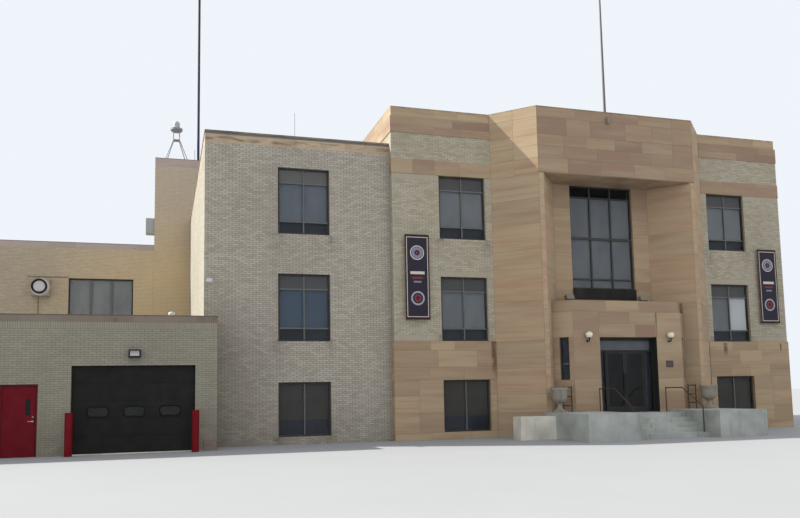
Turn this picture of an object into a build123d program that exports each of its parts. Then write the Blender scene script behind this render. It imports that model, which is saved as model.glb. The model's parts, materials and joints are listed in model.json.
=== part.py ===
from build123d import *
import math
import os

# Town hall, in millimetres, +Z up, ground at Z = 0.
# X runs to the right along the street front and Y into the building.
# X = 0 is the middle of the entrance and Y = 0 the brick face of the old front.

# Walls, floors and roofs
WALL = 350
SLAB = 250
FLOOR_TOPS = (2700, 6420)
ROOF_TOP = 10150

# Old front: two brick wings beside a tall stone centre
HALF_FRONT = 8420
OLD_REAR = 14600
BASE_TOP = 3450
BASE_PROUD = 30
BAND_LOW, BAND_TOP = 9460, 10000
BAND_PROUD = 15
PARAPET_LOW, PARAPET_TOP = 10950, 11920
PARAPET_PROUD = 20
TOP_COURSE = 370
TOP_SETBACK = 40

# Windows of the three storeys: sill and head of each row
ROWS = ((250, 2070), (3450, 5760), (7140, 9460))
WINDOW_WIDTH = 1790
WINDOW_SETBACK = 90
FRAME_FACE = 60
FRAME_DEPTH = 80
GLASS = 24

# Stone centre: canted piers, deep recess and frieze
PIER_ROOT = 4600
PIER_DEPTH = 1310
NOSE_OUTER, NOSE_INNER = 3300, 3100
RECESS_HALF = 2060
SOFFIT = 9440
FRIEZE_WALL = 450
SOFFIT_SLAB = 300
TALL_HALF = 1350
BOX_GAP = 200
BOX_HEIGHT = 400
BOX_PROUD = 70
PIER_MARGIN = 255
FRONT_WINDOW_X = PIER_ROOT + PIER_MARGIN + WINDOW_WIDTH / 2

# Entrance portal standing in the recess
PORTAL_HALF = 2240
PORTAL_FACE = -1430
FLANK_RUN = 530
FLANK_TURN = 45
PORTAL_WALL = 330
DOORWAY_HALF = 1180
DOORWAY_HEAD = 3510
LINTEL_TOP = 4420
LINTEL_HALF = 1220
LINTEL_SUNK = 40
CAP_TOP = 4840
CAP_SETBACK = 100
TALL_SILL = CAP_TOP + BOX_GAP + BOX_HEIGHT
PLAQUE_X, PLAQUE_LOW = 1685, 2410
PLAQUE_WIDTH, PLAQUE_HEIGHT, PLAQUE_THICK = 290, 240, 20
SLIT_WIDTH = 340
SLIT_SILL, SLIT_HEAD = 2000, 3510
SLIT_SHARE = 0.45
SLIT_FRAME = 40

# Landing, steps, side blocks and urns
LANDING_TOP = 800
LANDING_FRONT = -2500
STEP_COUNT = 5
TREAD = 300
STAIR_HALF = 1500
BLOCK_OUTER = 3400
BLOCK_TOP = 880
BLOCK_FRONT = -4200
LOW_WALL_OUTER = 4700
LOW_WALL_TOP = 770
LOW_WALL_DEPTH = 600
LOW_WALL_Y = -2100
URN_X, URN_Y, URN_HEIGHT = 3060, -1760, 850
URN_FOOT, URN_PLINTH, URN_NECK = 260, 60, 215
URN_STEM, URN_STEM_Z = 88, 285
URN_BELLY, URN_BELLY_Z = 262, 520
URN_RIM, URN_LIP = 310, 75
URN_WALL, URN_SOIL = 50, 660
RAIL = 38
RAIL_HEIGHT = 900
RAIL_INSET = 140
GUARD_OUTER, GUARD_INNER, GUARD_Y = 2730, 2410, -1450
GUARD_BARS = (0.25, 0.6, 0.95)

# Ground slab, and the lobby floor behind the doors
GROUND_SLAB = 200
HALL_DEPTH = 3600
LOBBY_SLAB = 200

# Entrance doors, sidelights and transom
DOOR_SETBACK = 300
POST = 50
LEAF_EDGE = 780
LEAF_GAP = 10
LEAF_HEAD = 2990
LEAF_THICK = 45
STILE = 70
KICK_RAIL = 200
TRANSOM_BAR = 50
HEAD_BAR = 110
PULL_DIAMETER = 32
PULL_REACH = 60
PULL_LENGTH = 700
PULL_CENTRE = 1050
PULL_STEM = 22

# Butt hinges of every door that opens
HINGE_RADIUS = 9
HINGE_OUT = 11
HINGE_KNUCKLE = 40
HINGE_PLAY = 0.4
HINGE_PLATE = 30
HINGE_SHEET = 4
HINGE_SHARES = (0.1, 0.5, 0.9)

# Lamps, banners and flagpole on the front
LAMP_X, LAMP_Z, LAMP_OUT = 1690, 3580, 145
LAMP_ARM_Z = 3360
LAMP_ARM, LAMP_STEM = 28, 42
GLOBE_RADIUS = 125
GLOBE_SEAT = 0.85
LAMP_ROSE, LAMP_ROSE_DEEP = 84, 15
FLOOD_X = (-1750, 1400)
FLOOD_Y = -450
FLOOD_STAND, FLOOD_STEM, FLOOD_TILT = 110, 40, 25
FLOOD_WIDTH, FLOOD_DEPTH, FLOOD_HEIGHT = 320, 170, 200
HOOK_X, HOOK_LOW = -400, 11450
HOOK_WIDTH, HOOK_OUT, HOOK_HEIGHT = 100, 120, 250
BANNER_WIDTH, BANNER_MARGIN = 900, 410
BANNER_X = HALF_FRONT - BANNER_MARGIN - BANNER_WIDTH / 2
BANNER_LOW, BANNER_TOP = 4230, 7190
BANNER_OUT = 130
BANNER_THICK = 12
BANNER_BAR, BANNER_STUB = 30, 22
POLE_BACK = 300
POLE_BASE, POLE_TIP, POLE_BALL = 120, 60, 90
POLE_TOP = 18000

# Brick addition on the left, three storeys
ADD_LEFT = -14840
ADD_SETBACK = 270
ADD_MIDDLE = (ADD_LEFT - HALF_FRONT) / 2
ADD_WINDOW_SHIFT, ADD_REAR_SHIFT = 120, 730
ADD_WINDOW_X = ADD_MIDDLE + ADD_WINDOW_SHIFT
ADD_REAR_WINDOW_X = ADD_MIDDLE + ADD_REAR_SHIFT
ADD_BAND_LOW, ADD_TOP = 10170, 10590
METAL_CAP = 60
CAP_LIP = 20
COPING_JOINT = 6
WHIP_INSET, WHIP_RISE, WHIP = 3050, 890, 16
WHIP_X = ADD_LEFT + WHIP_INSET

# Garage block, one storey, in front of the rear wing
GARAGE_RIGHT = -14490
GARAGE_LEFT = -25680
GARAGE_FACE = -1100
GARAGE_SLAB = 50
GARAGE_ROOF = 3800
GARAGE_BAND, GARAGE_TOP = 3930, 4150
GARAGE_DOOR_WIDTH = 3540
GARAGE_DOOR_HEAD = 2620
GARAGE_DOOR_MARGIN = 660
GARAGE_DOOR_SETBACK = 150
GARAGE_DOOR_THICK = 50
DOOR_SECTIONS, SECTION_GROOVE = 5, 12
LIGHT_PITCH, LIGHT_Z = 1035, 1245
LIGHT_WIDTH, LIGHT_HEIGHT, LIGHT_CORNER = 560, 260, 95
LIGHT_RING, LIGHT_RING_PROUD, LIGHT_PANE = 45, 15, 12
LAMP_BOX, LAMP_BOX_OUT, LAMP_BOX_LOW, LAMP_BOX_TALL = 350, 220, 2850, 240
VENT_INSET, VENT_Y, VENT_SIDE, VENT_RISE = 1010, 2000, 400, 250
SERVICE_WIDTH = 1010
SERVICE_HEAD = 2090
SERVICE_FRAME = 50
SERVICE_SETBACK = 60
SERVICE_THICK = 45
BOLLARD_RADIUS = 110
BOLLARD_HEIGHT = 1250
BOLLARD_OUT = 380
CORNER_WIDTH, CORNER_PROUD, CORNER_STONE = 400, 40, 160
LITE_EDGE, LITE_WIDTH = 130, 130
LITE_SILL, LITE_HEIGHT, LITE_PANE = 1200, 460, 12
LEVER_BACKSET, LEVER_Z = 70, 1020
LEVER_REACH, LEVER_LENGTH, LEVER_ROD, LEVER_STEM = 55, 120, 18, 24
LEVER_ROSE, LEVER_ROSE_DEEP = 54, 8

# Rear wing and tower behind the garage
WING_LEFT = -23650
WING_DEPTH = 5000
WING_FLOOR = 4500
WING_ROOF = 8900
WING_BAND, WING_TOP = 8980, 9280
WING_WINDOW_INSET, WING_WINDOW_WIDTH = 3120, 2970
WING_SILL, WING_HEAD = 5400, 7500
TOWER_LEFT = -16590
TOWER_WIDTH = 3100
TOWER_ROOF = 13300
TOWER_BAND, TOWER_TOP = 13370, 13810
SIREN_INSET, SIREN_BACK = 1040, 1400
SIREN_X, SIREN_Y = TOWER_LEFT + SIREN_INSET, OLD_REAR + SIREN_BACK
SIREN_PLATFORM, SIREN_PLATFORM_HALF = 600, 660
SIREN_RISE, SIREN_SPREAD, SIREN_NECK = 1300, 600, 150
SIREN_LEG, SIREN_PLATE, SIREN_FORK = 45, 40, 500
SIREN_RING, SIREN_RING_HEIGHT, SIREN_BEVEL = 310, 220, 60
SIREN_MOTOR, SIREN_MOTOR_HEIGHT = 170, 190
SIDE_BOX_OUT, SIDE_BOX_DEEP = 420, 600
SIDE_BOX_LOW, SIDE_BOX_TALL, SIDE_BOX_BACK = 9900, 770, 100
HORN_INSET, HORN_Z = 1900, 6990
HORN_X = WING_LEFT + HORN_INSET
HORN_BOX, HORN_BOX_OUT = 820, 350
HORN_MOUTH, HORN_THROAT, HORN_REACH = 360, 150, 300
CAMERA_INSET, CAMERA_Z, CAMERA_ARM = 160, 5440, 34
CAMERA_SIDE, CAMERA_LENGTH, CAMERA_OUT = 120, 170, 300
STUB_INSET, STUB_RISE, STUB = 1940, 590, 24
STUB_X = TOWER_LEFT + STUB_INSET
MAST_INSET, MAST_BACK = 2140, 700
MAST_X, MAST_Y = TOWER_LEFT + MAST_INSET, OLD_REAR + MAST_BACK
MAST_DIAMETER, MAST_TOP = 130, 24000

# Windows of the sides that the street does not show
SIDE_WINDOWS_Y = (3000, 7300, 11600)
REAR_WINDOWS_X = (-6000, -2000, 2000, 6000)

nodes = {}


def block(x0, x1, y0, y1, z0, z1):
    """A box between two corners."""
    size = Box(x1 - x0, y1 - y0, z1 - z0)
    return Pos((x0 + x1) / 2, (y0 + y1) / 2, (z0 + z1) / 2) * size


def prism(points, z0, z1):
    """An upright prism over a plan outline."""
    outline = make_face(Polyline(*points, close=True))
    return Pos(0, 0, z0) * extrude(outline, z1 - z0)


def mirrored(shape):
    return mirror(shape, Plane.YZ)


def add(name, *shapes):
    """File the solids of each shape under one node."""
    kept = nodes.setdefault(name, [])
    for shape in shapes:
        kept.extend(shape.solids())


def front_hole(x, sill, head, width=WINDOW_WIDTH, face=0):
    """The void of a window in a wall that looks to the street or the rear."""
    return block(x - width / 2, x + width / 2,
                 face - WALL, face + 2 * WALL, sill, head)


def side_hole(y, sill, head):
    return block(HALF_FRONT - 2 * WALL, HALF_FRONT + WALL,
                 y - WINDOW_WIDTH / 2, y + WINDOW_WIDTH / 2, sill, head)


def window(width, height, face=FRAME_FACE):
    """Frame ring and pane, standing at the origin and looking along -Y."""
    ring = block(-width / 2, width / 2, 0, FRAME_DEPTH, 0, height)
    ring -= block(-width / 2 + face, width / 2 - face,
                  -1, FRAME_DEPTH + 1, face, height - face)
    middle = FRAME_DEPTH / 2
    pane = block(-width / 2 + face, width / 2 - face,
                 middle - GLASS / 2, middle + GLASS / 2,
                 face, height - face)
    return ring, pane


def place_window(where, width, height, face=FRAME_FACE):
    ring, pane = window(width, height, face)
    add("window_frames", where * ring)
    add("window_glass", where * pane)


# Main walls of the old front, right and left of the stone centre
top_course_z = PARAPET_TOP - TOP_COURSE
addition_space = block(ADD_LEFT, -HALF_FRONT, ADD_SETBACK, OLD_REAR,
                       0, ADD_TOP)
for turn in (1, -1):
    base = block(PIER_ROOT, HALF_FRONT + BASE_PROUD, -BASE_PROUD, WALL,
                 0, BASE_TOP)
    brick = block(PIER_ROOT, HALF_FRONT, 0, WALL, BASE_TOP, BAND_LOW)
    for sill, head in ROWS:
        hole = front_hole(FRONT_WINDOW_X, sill, head)
        base -= hole
        brick -= hole
        place_window(Pos(turn * FRONT_WINDOW_X, WINDOW_SETBACK, sill),
                     WINDOW_WIDTH, head - sill)
    upper = block(PIER_ROOT, HALF_FRONT, 0, WALL, BAND_TOP, PARAPET_LOW)
    band = block(PIER_ROOT, HALF_FRONT + BAND_PROUD, -BAND_PROUD, WALL,
                 BAND_LOW, BAND_TOP)
    parapet = block(PIER_ROOT, HALF_FRONT + PARAPET_PROUD,
                    -PARAPET_PROUD, WALL, PARAPET_LOW, top_course_z)
    parapet += block(PIER_ROOT, HALF_FRONT + PARAPET_PROUD - TOP_SETBACK,
                     TOP_SETBACK - PARAPET_PROUD, WALL, top_course_z, PARAPET_TOP)
    if turn < 0:
        base = mirrored(base) - addition_space
        band = mirrored(band) - addition_space
        brick, upper = mirrored(brick), mirrored(upper)
        parapet = mirrored(parapet)
    add("front_stone_base", base)
    add("front_brick_walls", brick, upper)
    add("front_rear_stone", band, parapet)

# Side and rear walls of the old part
inside_y = OLD_REAR - WALL
right_wall = block(HALF_FRONT - WALL, HALF_FRONT, WALL, inside_y,
                   BASE_TOP, BAND_LOW)
right_base = block(HALF_FRONT - WALL, HALF_FRONT + BASE_PROUD,
                   WALL, inside_y, 0, BASE_TOP)
for y in SIDE_WINDOWS_Y:
    for sill, head in ROWS:
        hole = side_hole(y, sill, head)
        right_wall -= hole
        right_base -= hole
        spot = Pos(HALF_FRONT - WINDOW_SETBACK, y, sill) * Rot(0, 0, 90)
        place_window(spot, WINDOW_WIDTH, head - sill)
right_upper = block(HALF_FRONT - WALL, HALF_FRONT, WALL, inside_y,
                    BAND_TOP, PARAPET_LOW)
add("side_walls", right_wall, right_upper)
add("side_stone_base", right_base)
left_wall = block(-HALF_FRONT, WALL - HALF_FRONT, WALL, inside_y,
                  0, PARAPET_LOW)
add("side_walls", left_wall)

side_band = block(HALF_FRONT - WALL, HALF_FRONT + BAND_PROUD,
                  WALL, inside_y, BAND_LOW, BAND_TOP)
side_parapet = block(HALF_FRONT - WALL, HALF_FRONT + PARAPET_PROUD,
                     WALL, inside_y, PARAPET_LOW, top_course_z)
side_parapet += block(HALF_FRONT - WALL,
                      HALF_FRONT + PARAPET_PROUD - TOP_SETBACK,
                      WALL, inside_y, top_course_z, PARAPET_TOP)
add("side_stone", side_band, side_parapet, mirrored(side_parapet))

rear_wall = block(-HALF_FRONT, HALF_FRONT, inside_y, OLD_REAR,
                  0, PARAPET_LOW)
for x in REAR_WINDOWS_X:
    for sill, head in ROWS:
        rear_wall -= front_hole(x, sill, head, face=OLD_REAR)
        spot = Pos(x, OLD_REAR - WINDOW_SETBACK, sill) * Rot(0, 0, 180)
        place_window(spot, WINDOW_WIDTH, head - sill)
add("rear_wall", rear_wall)
add("front_rear_stone", block(-HALF_FRONT, HALF_FRONT, inside_y, OLD_REAR,
                              PARAPET_LOW, PARAPET_TOP))

# Canted piers with a narrow nose and a splayed inner face
pier_plan = [(-PIER_ROOT, 0), (-NOSE_OUTER, -PIER_DEPTH),
             (-NOSE_INNER, -PIER_DEPTH), (-RECESS_HALF, 0)]
pier = prism(pier_plan, 0, SOFFIT)
add("canted_piers", pier, mirrored(pier))

# Frieze block that crowns the piers and roofs the recess
frieze_plan = [(-PIER_ROOT, 0), (-NOSE_OUTER, -PIER_DEPTH),
               (NOSE_OUTER, -PIER_DEPTH), (PIER_ROOT, 0)]
cant_run = PIER_ROOT - NOSE_OUTER
inner_root = PIER_ROOT - FRIEZE_WALL * math.hypot(cant_run, PIER_DEPTH) / PIER_DEPTH
inner_nose = inner_root - (PIER_DEPTH - FRIEZE_WALL) * cant_run / PIER_DEPTH
inner_plan = [(-inner_root, 1), (-inner_root, 0),
              (-inner_nose, FRIEZE_WALL - PIER_DEPTH),
              (inner_nose, FRIEZE_WALL - PIER_DEPTH),
              (inner_root, 0), (inner_root, 1)]
frieze = prism(frieze_plan, SOFFIT, PARAPET_TOP)
frieze -= prism(inner_plan, SOFFIT + SOFFIT_SLAB, PARAPET_TOP + 1)
frieze_return = block(-PIER_ROOT, -inner_root, 0, WALL, ROOF_TOP, PARAPET_TOP)
frieze += frieze_return
frieze += mirrored(frieze_return)
add("frieze_block", frieze)

# Wall at the back of the recess, open to the entrance hall below
recess_wall = block(-PIER_ROOT, PIER_ROOT, 0, WALL, 0, ROOF_TOP)
recess_wall -= block(-RECESS_HALF, RECESS_HALF, -1, WALL + 1,
                     -1, LINTEL_TOP)
recess_wall -= block(-TALL_HALF, TALL_HALF, -1, WALL + 1,
                     TALL_SILL, SOFFIT)
add("recess_wall", recess_wall)
place_window(Pos(0, WINDOW_SETBACK, TALL_SILL), 2 * TALL_HALF,
             SOFFIT - TALL_SILL)
add("metal_boxes", block(-TALL_HALF, TALL_HALF, -BOX_PROUD, 0,
                             TALL_SILL - BOX_HEIGHT, TALL_SILL))

# Portal: straight face, two canted flanks with a slit window each
corner_share = math.tan(math.radians(FLANK_TURN / 2))
corner = PORTAL_WALL * corner_share
flank_half = PORTAL_HALF + FLANK_RUN
flank_back = PORTAL_FACE + FLANK_RUN
inner_face = PORTAL_FACE + PORTAL_WALL
side_plan = [(-DOORWAY_HALF, PORTAL_FACE), (-PORTAL_HALF, PORTAL_FACE),
             (-flank_half, flank_back),
             (-flank_half + corner, flank_back + PORTAL_WALL),
             (-PORTAL_HALF + corner, inner_face),
             (-DOORWAY_HALF, inner_face)]
portal_side = prism(side_plan, 0, LINTEL_TOP) - pier
slit = block(-SLIT_WIDTH / 2, SLIT_WIDTH / 2, -PORTAL_WALL, 2 * PORTAL_WALL,
             SLIT_SILL, SLIT_HEAD)
slit_x = PORTAL_HALF + FLANK_RUN * SLIT_SHARE
slit_y = PORTAL_FACE + FLANK_RUN * SLIT_SHARE
slit_place = Pos(-slit_x, slit_y, 0) * Rot(0, 0, -FLANK_TURN)
portal_side -= slit_place * slit
panel = block(-LINTEL_HALF, LINTEL_HALF, PORTAL_FACE - 1,
              PORTAL_FACE + LINTEL_SUNK, DOORWAY_HEAD, LINTEL_TOP)
portal_side -= panel
add("portal_sides", portal_side, mirrored(portal_side))
add("portal_lintel", block(-DOORWAY_HALF, DOORWAY_HALF,
                           PORTAL_FACE + LINTEL_SUNK, inner_face,
                           DOORWAY_HEAD, LINTEL_TOP))
cap_y = PORTAL_FACE + CAP_SETBACK
cap_x = PORTAL_HALF - corner_share * CAP_SETBACK
cap_plan = [(-cap_x, cap_y), (cap_x, cap_y),
            (cap_x - cap_y, 0), (cap_y - cap_x, 0)]
piers = pier + mirrored(pier)
add("portal_cap", prism(cap_plan, LINTEL_TOP, CAP_TOP) - piers)
slit_spot = slit_place * Pos(0, WINDOW_SETBACK, SLIT_SILL)
other_spot = Pos(slit_x, slit_y, 0) * Rot(0, 0, FLANK_TURN) * Pos(
    0, WINDOW_SETBACK, SLIT_SILL)
for spot in (slit_spot, other_spot):
    place_window(spot, SLIT_WIDTH, SLIT_HEAD - SLIT_SILL, SLIT_FRAME)

# Landing and steps as one flight, with a heavy block on each side
riser = LANDING_TOP / STEP_COUNT
profile = [(PORTAL_FACE, 0), (PORTAL_FACE, LANDING_TOP),
           (LANDING_FRONT, LANDING_TOP)]
for step in range(1, STEP_COUNT):
    y = LANDING_FRONT - (step - 1) * TREAD
    profile.append((y, LANDING_TOP - step * riser))
    profile.append((y - TREAD, LANDING_TOP - step * riser))
profile.append((LANDING_FRONT - (STEP_COUNT - 1) * TREAD, 0))
flight = make_face(Polyline(*[(0, y, z) for y, z in profile], close=True))
flight = extrude(flight, 2 * STAIR_HALF, dir=(1, 0, 0))
add("entrance_steps", Pos(-STAIR_HALF, 0, 0) * flight)
portal_body = prism(side_plan, 0, LINTEL_TOP)
side_block = block(-BLOCK_OUTER, -STAIR_HALF, BLOCK_FRONT,
                   PORTAL_FACE + FLANK_RUN, 0, BLOCK_TOP)
side_block -= pier
side_block -= portal_body
side_block = side_block.solids().sort_by(Axis.Y)[0]
add("stair_blocks", side_block, mirrored(side_block))
low_wall = block(-LOW_WALL_OUTER, -BLOCK_OUTER, LOW_WALL_Y,
                 LOW_WALL_Y + LOW_WALL_DEPTH, 0, LOW_WALL_TOP)
add("low_side_walls", low_wall, mirrored(low_wall))


def urn():
    """Turned stone planter with a foot, a stem and a deep bowl."""
    lip_z = URN_HEIGHT - URN_LIP
    inner = URN_RIM - URN_WALL
    foot = Polyline((0, 0, 0), (URN_FOOT, 0, 0), (URN_FOOT, 0, URN_PLINTH),
                    (URN_NECK, 0, URN_PLINTH))
    swell = Spline((URN_NECK, 0, URN_PLINTH), (URN_STEM, 0, URN_STEM_Z),
                   (URN_BELLY, 0, URN_BELLY_Z),
                   tangents=[(-1, 0, 0.3), (0.1, 0, 1)])
    bowl = Polyline((URN_BELLY, 0, URN_BELLY_Z),
                    (URN_RIM - URN_WALL / 2, 0, lip_z), (URN_RIM, 0, lip_z),
                    (URN_RIM, 0, URN_HEIGHT), (inner, 0, URN_HEIGHT),
                    (inner - URN_WALL / 2, 0, URN_SOIL), (0, 0, URN_SOIL),
                    (0, 0, 0))
    return revolve(make_face(foot + swell + bowl), Axis.Z)


urn_spot = Pos(-URN_X, URN_Y, BLOCK_TOP)
add("urns", urn_spot * urn(), mirrored(urn_spot * urn()))


def rod(start, end, diameter):
    """A round bar between two points."""
    a, b = Vector(*start), Vector(*end)
    plane = Plane(origin=a, z_dir=b - a)
    return plane * Cylinder(diameter / 2, (b - a).length,
                            align=(Align.CENTER, Align.CENTER, Align.MIN))


def hinge(x, face, z):
    """Leaf side and frame side of a hinge whose leaf lies towards +X."""
    sides = []
    half = HINGE_KNUCKLE / 2
    for reach, spans in ((HINGE_PLATE, [(-half, half)]),
                         (-HINGE_PLATE, [(half + HINGE_PLAY, 2 * half),
                                         (-2 * half, -half - HINGE_PLAY)])):
        side = None
        for low, high in spans:
            pin = rod((x, face - HINGE_OUT, z + low),
                      (x, face - HINGE_OUT, z + high), 2 * HINGE_RADIUS)
            x0, x1 = sorted((x, x + reach))
            pin += block(x0, x1, face - HINGE_SHEET, face, z + low, z + high)
            side = pin if side is None else side + pin
        sides.append(side)
    return sides


# Handrails on the steps and a short guard beside each urn
rail_x = STAIR_HALF - RAIL_INSET
rail_start = PORTAL_FACE - RAIL_INSET
rail_end = LANDING_FRONT - (STEP_COUNT - 1) * TREAD + RAIL_INSET
rail_drop = (STEP_COUNT - 1) * riser
handrail = rod((-rail_x, rail_start, LANDING_TOP),
               (-rail_x, rail_start, LANDING_TOP + RAIL_HEIGHT), RAIL)
handrail += rod((-rail_x, rail_end, riser),
                (-rail_x, rail_end, riser + RAIL_HEIGHT), RAIL)
handrail += rod((-rail_x, rail_start, LANDING_TOP + RAIL_HEIGHT - RAIL),
                (-rail_x, LANDING_FRONT, LANDING_TOP + RAIL_HEIGHT - RAIL),
                RAIL)
handrail += rod((-rail_x, LANDING_FRONT, LANDING_TOP + RAIL_HEIGHT - RAIL),
                (-rail_x, rail_end, riser + RAIL_HEIGHT - RAIL), RAIL)
add("stair_rails", handrail, mirrored(handrail))
guard = None
for x in (GUARD_OUTER, GUARD_INNER):
    post = rod((-x, GUARD_Y, BLOCK_TOP),
               (-x, GUARD_Y, BLOCK_TOP + RAIL_HEIGHT), RAIL)
    guard = post if guard is None else guard + post
for share in GUARD_BARS:
    z = BLOCK_TOP + RAIL_HEIGHT * share
    guard += rod((-GUARD_OUTER, GUARD_Y, z), (-GUARD_INNER, GUARD_Y, z), RAIL)
add("stair_rails", guard, mirrored(guard))

# Floors: the hall behind the doors stays open up to the second floor
in_x = HALF_FRONT - WALL
ground = block(-in_x, in_x, WALL, inside_y, 0, GROUND_SLAB)
ground += block(-RECESS_HALF, RECESS_HALF, inner_face, WALL, 0, GROUND_SLAB)
add("ground_slabs", ground,
    block(ADD_LEFT + WALL, -HALF_FRONT, ADD_SETBACK + WALL, inside_y,
          0, GROUND_SLAB))
hall_back = WALL + HALL_DEPTH
lobby_foot = LANDING_TOP - LOBBY_SLAB
lobby = block(-RECESS_HALF, RECESS_HALF, inner_face, hall_back, lobby_foot, LANDING_TOP)
lobby += block(-DOORWAY_HALF, DOORWAY_HALF, PORTAL_FACE, inner_face, lobby_foot, LANDING_TOP)
lobby -= piers
lobby -= portal_body
lobby -= mirrored(portal_body)
add("lobby_floor", lobby)
hall = block(-RECESS_HALF, RECESS_HALF, 0, hall_back, 0, SOFFIT)
for top in FLOOR_TOPS:
    slab = block(-in_x, in_x, WALL, inside_y, top - SLAB, top)
    if top < DOORWAY_HEAD:
        slab -= hall
    add("upper_floors", slab,
        block(ADD_LEFT + WALL, -HALF_FRONT, ADD_SETBACK + WALL,
              inside_y, top - SLAB, top))
add("roof_slabs", block(-in_x, in_x, WALL, inside_y,
                       ROOF_TOP - SLAB, ROOF_TOP),
    block(ADD_LEFT + WALL, -HALF_FRONT, ADD_SETBACK + WALL, inside_y,
          ROOF_TOP - SLAB, ROOF_TOP))

# Entrance frame: posts, transom bar and head, closed by fixed glass
frame_y = PORTAL_FACE + DOOR_SETBACK
frame_back = frame_y + FRAME_DEPTH
frame = block(-DOORWAY_HALF, DOORWAY_HALF, frame_y, frame_back,
              LANDING_TOP, DOORWAY_HEAD)
side_light = (LEAF_EDGE + POST, DOORWAY_HALF - POST)
bar_top = LEAF_HEAD + LEAF_GAP + TRANSOM_BAR
transom = (bar_top, DOORWAY_HEAD - HEAD_BAR)
frame -= block(-LEAF_EDGE, LEAF_EDGE, frame_y - 1, frame_back + 1,
               LANDING_TOP - 1, LEAF_HEAD + LEAF_GAP)
frame -= block(-side_light[1], side_light[1], frame_y - 1, frame_back + 1,
               *transom)
for turn in (1, -1):
    x0, x1 = sorted((turn * side_light[0], turn * side_light[1]))
    frame -= block(x0, x1, frame_y - 1, frame_back + 1,
                   LANDING_TOP + POST, LEAF_HEAD + LEAF_GAP)
hinge_x = LEAF_EDGE - LEAF_GAP / 2
leaf_hinges = []
for share in HINGE_SHARES:
    z = LANDING_TOP + share * (LEAF_HEAD - LANDING_TOP)
    on_leaf, on_frame = hinge(-hinge_x, frame_y, z)
    leaf_hinges.append(on_leaf)
    frame += on_frame
    frame += mirrored(on_frame)
add("door_frames", frame)
pane_y = (frame_y + frame_back) / 2
glass = block(-side_light[1], side_light[1], pane_y - GLASS / 2,
              pane_y + GLASS / 2, *transom)
side_pane = block(-side_light[1], -side_light[0], pane_y - GLASS / 2,
                  pane_y + GLASS / 2, LANDING_TOP + POST,
                  LEAF_HEAD + LEAF_GAP)
add("window_glass", glass, side_pane, mirrored(side_pane))

# Two entrance leaves that swing out on their outer edges
leaf_outer, leaf_inner = LEAF_EDGE - LEAF_GAP, LEAF_GAP / 2
leaf_low = LANDING_TOP + LEAF_GAP
leaf = block(-leaf_outer, -leaf_inner, frame_y, frame_y + LEAF_THICK,
             leaf_low, LEAF_HEAD)
light = (-leaf_outer + STILE, -leaf_inner - STILE)
light_z = (leaf_low + KICK_RAIL, LEAF_HEAD - STILE)
leaf -= block(*light, frame_y - 1, frame_y + LEAF_THICK + 1, *light_z)
leaf_glass = block(*light, frame_y + LEAF_THICK / 2 - GLASS / 2,
                   frame_y + LEAF_THICK / 2 + GLASS / 2, *light_z)
pull_x = -leaf_inner - STILE / 2
pull_y = frame_y - PULL_REACH
pull_mid = LANDING_TOP + PULL_CENTRE
pull = rod((pull_x, pull_y, pull_mid - PULL_LENGTH / 2),
           (pull_x, pull_y, pull_mid + PULL_LENGTH / 2), PULL_DIAMETER)
for end in (-1, 1):
    z = pull_mid + end * (PULL_LENGTH / 2 - PULL_DIAMETER)
    pull += rod((pull_x, pull_y, z), (pull_x, frame_y, z), PULL_STEM)
leaf += pull
for piece in leaf_hinges:
    leaf += piece
for hand, turn in (("left", lambda s: s), ("right", mirrored)):
    add("entrance_leaf_" + hand, turn(leaf))
    add("leaf_glass_" + hand, turn(leaf_glass))

# Globe lamps, floodlights, plaque and frieze lamp
lamp_y = PORTAL_FACE - LAMP_OUT
globe = Sphere(GLOBE_RADIUS)
globe -= block(-GLOBE_RADIUS, GLOBE_RADIUS, -GLOBE_RADIUS, GLOBE_RADIUS,
               -GLOBE_RADIUS - 1, -GLOBE_SEAT * GLOBE_RADIUS)
globe_spot = Pos(-LAMP_X, lamp_y, LAMP_Z)
add("lamp_globes", globe_spot * globe, mirrored(globe_spot * globe))
cup_top = LAMP_Z - GLOBE_SEAT * GLOBE_RADIUS
arm = rod((-LAMP_X, PORTAL_FACE, LAMP_ARM_Z), (-LAMP_X, lamp_y, LAMP_ARM_Z),
          LAMP_ARM)
arm += rod((-LAMP_X, lamp_y, LAMP_ARM_Z - LAMP_ARM),
           (-LAMP_X, lamp_y, cup_top), LAMP_STEM)
arm += rod((-LAMP_X, lamp_y, cup_top - LAMP_ARM), (-LAMP_X, lamp_y, cup_top),
           GLOBE_RADIUS)
arm += rod((-LAMP_X, PORTAL_FACE, LAMP_ARM_Z),
           (-LAMP_X, PORTAL_FACE - LAMP_ROSE_DEEP, LAMP_ARM_Z), LAMP_ROSE)
add("light_fittings", arm, mirrored(arm))
for x in FLOOD_X:
    stand = rod((x, FLOOD_Y, CAP_TOP), (x, FLOOD_Y, CAP_TOP + FLOOD_STAND), FLOOD_STEM)
    head_spot = Pos(x, FLOOD_Y, CAP_TOP + FLOOD_STAND) * Rot(-FLOOD_TILT, 0, 0)
    stand += head_spot * block(-FLOOD_WIDTH / 2, FLOOD_WIDTH / 2, -FLOOD_DEPTH / 2,
                               FLOOD_DEPTH / 2, 0, FLOOD_HEIGHT)
    add("light_fittings", stand)
add("plaque", block(PLAQUE_X - PLAQUE_WIDTH / 2, PLAQUE_X + PLAQUE_WIDTH / 2,
                    PORTAL_FACE - PLAQUE_THICK, PORTAL_FACE,
                    PLAQUE_LOW, PLAQUE_LOW + PLAQUE_HEIGHT))
add("light_fittings", block(HOOK_X - HOOK_WIDTH / 2, HOOK_X + HOOK_WIDTH / 2,
                            -PIER_DEPTH - HOOK_OUT, -PIER_DEPTH,
                            HOOK_LOW, HOOK_LOW + HOOK_HEIGHT))

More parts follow.
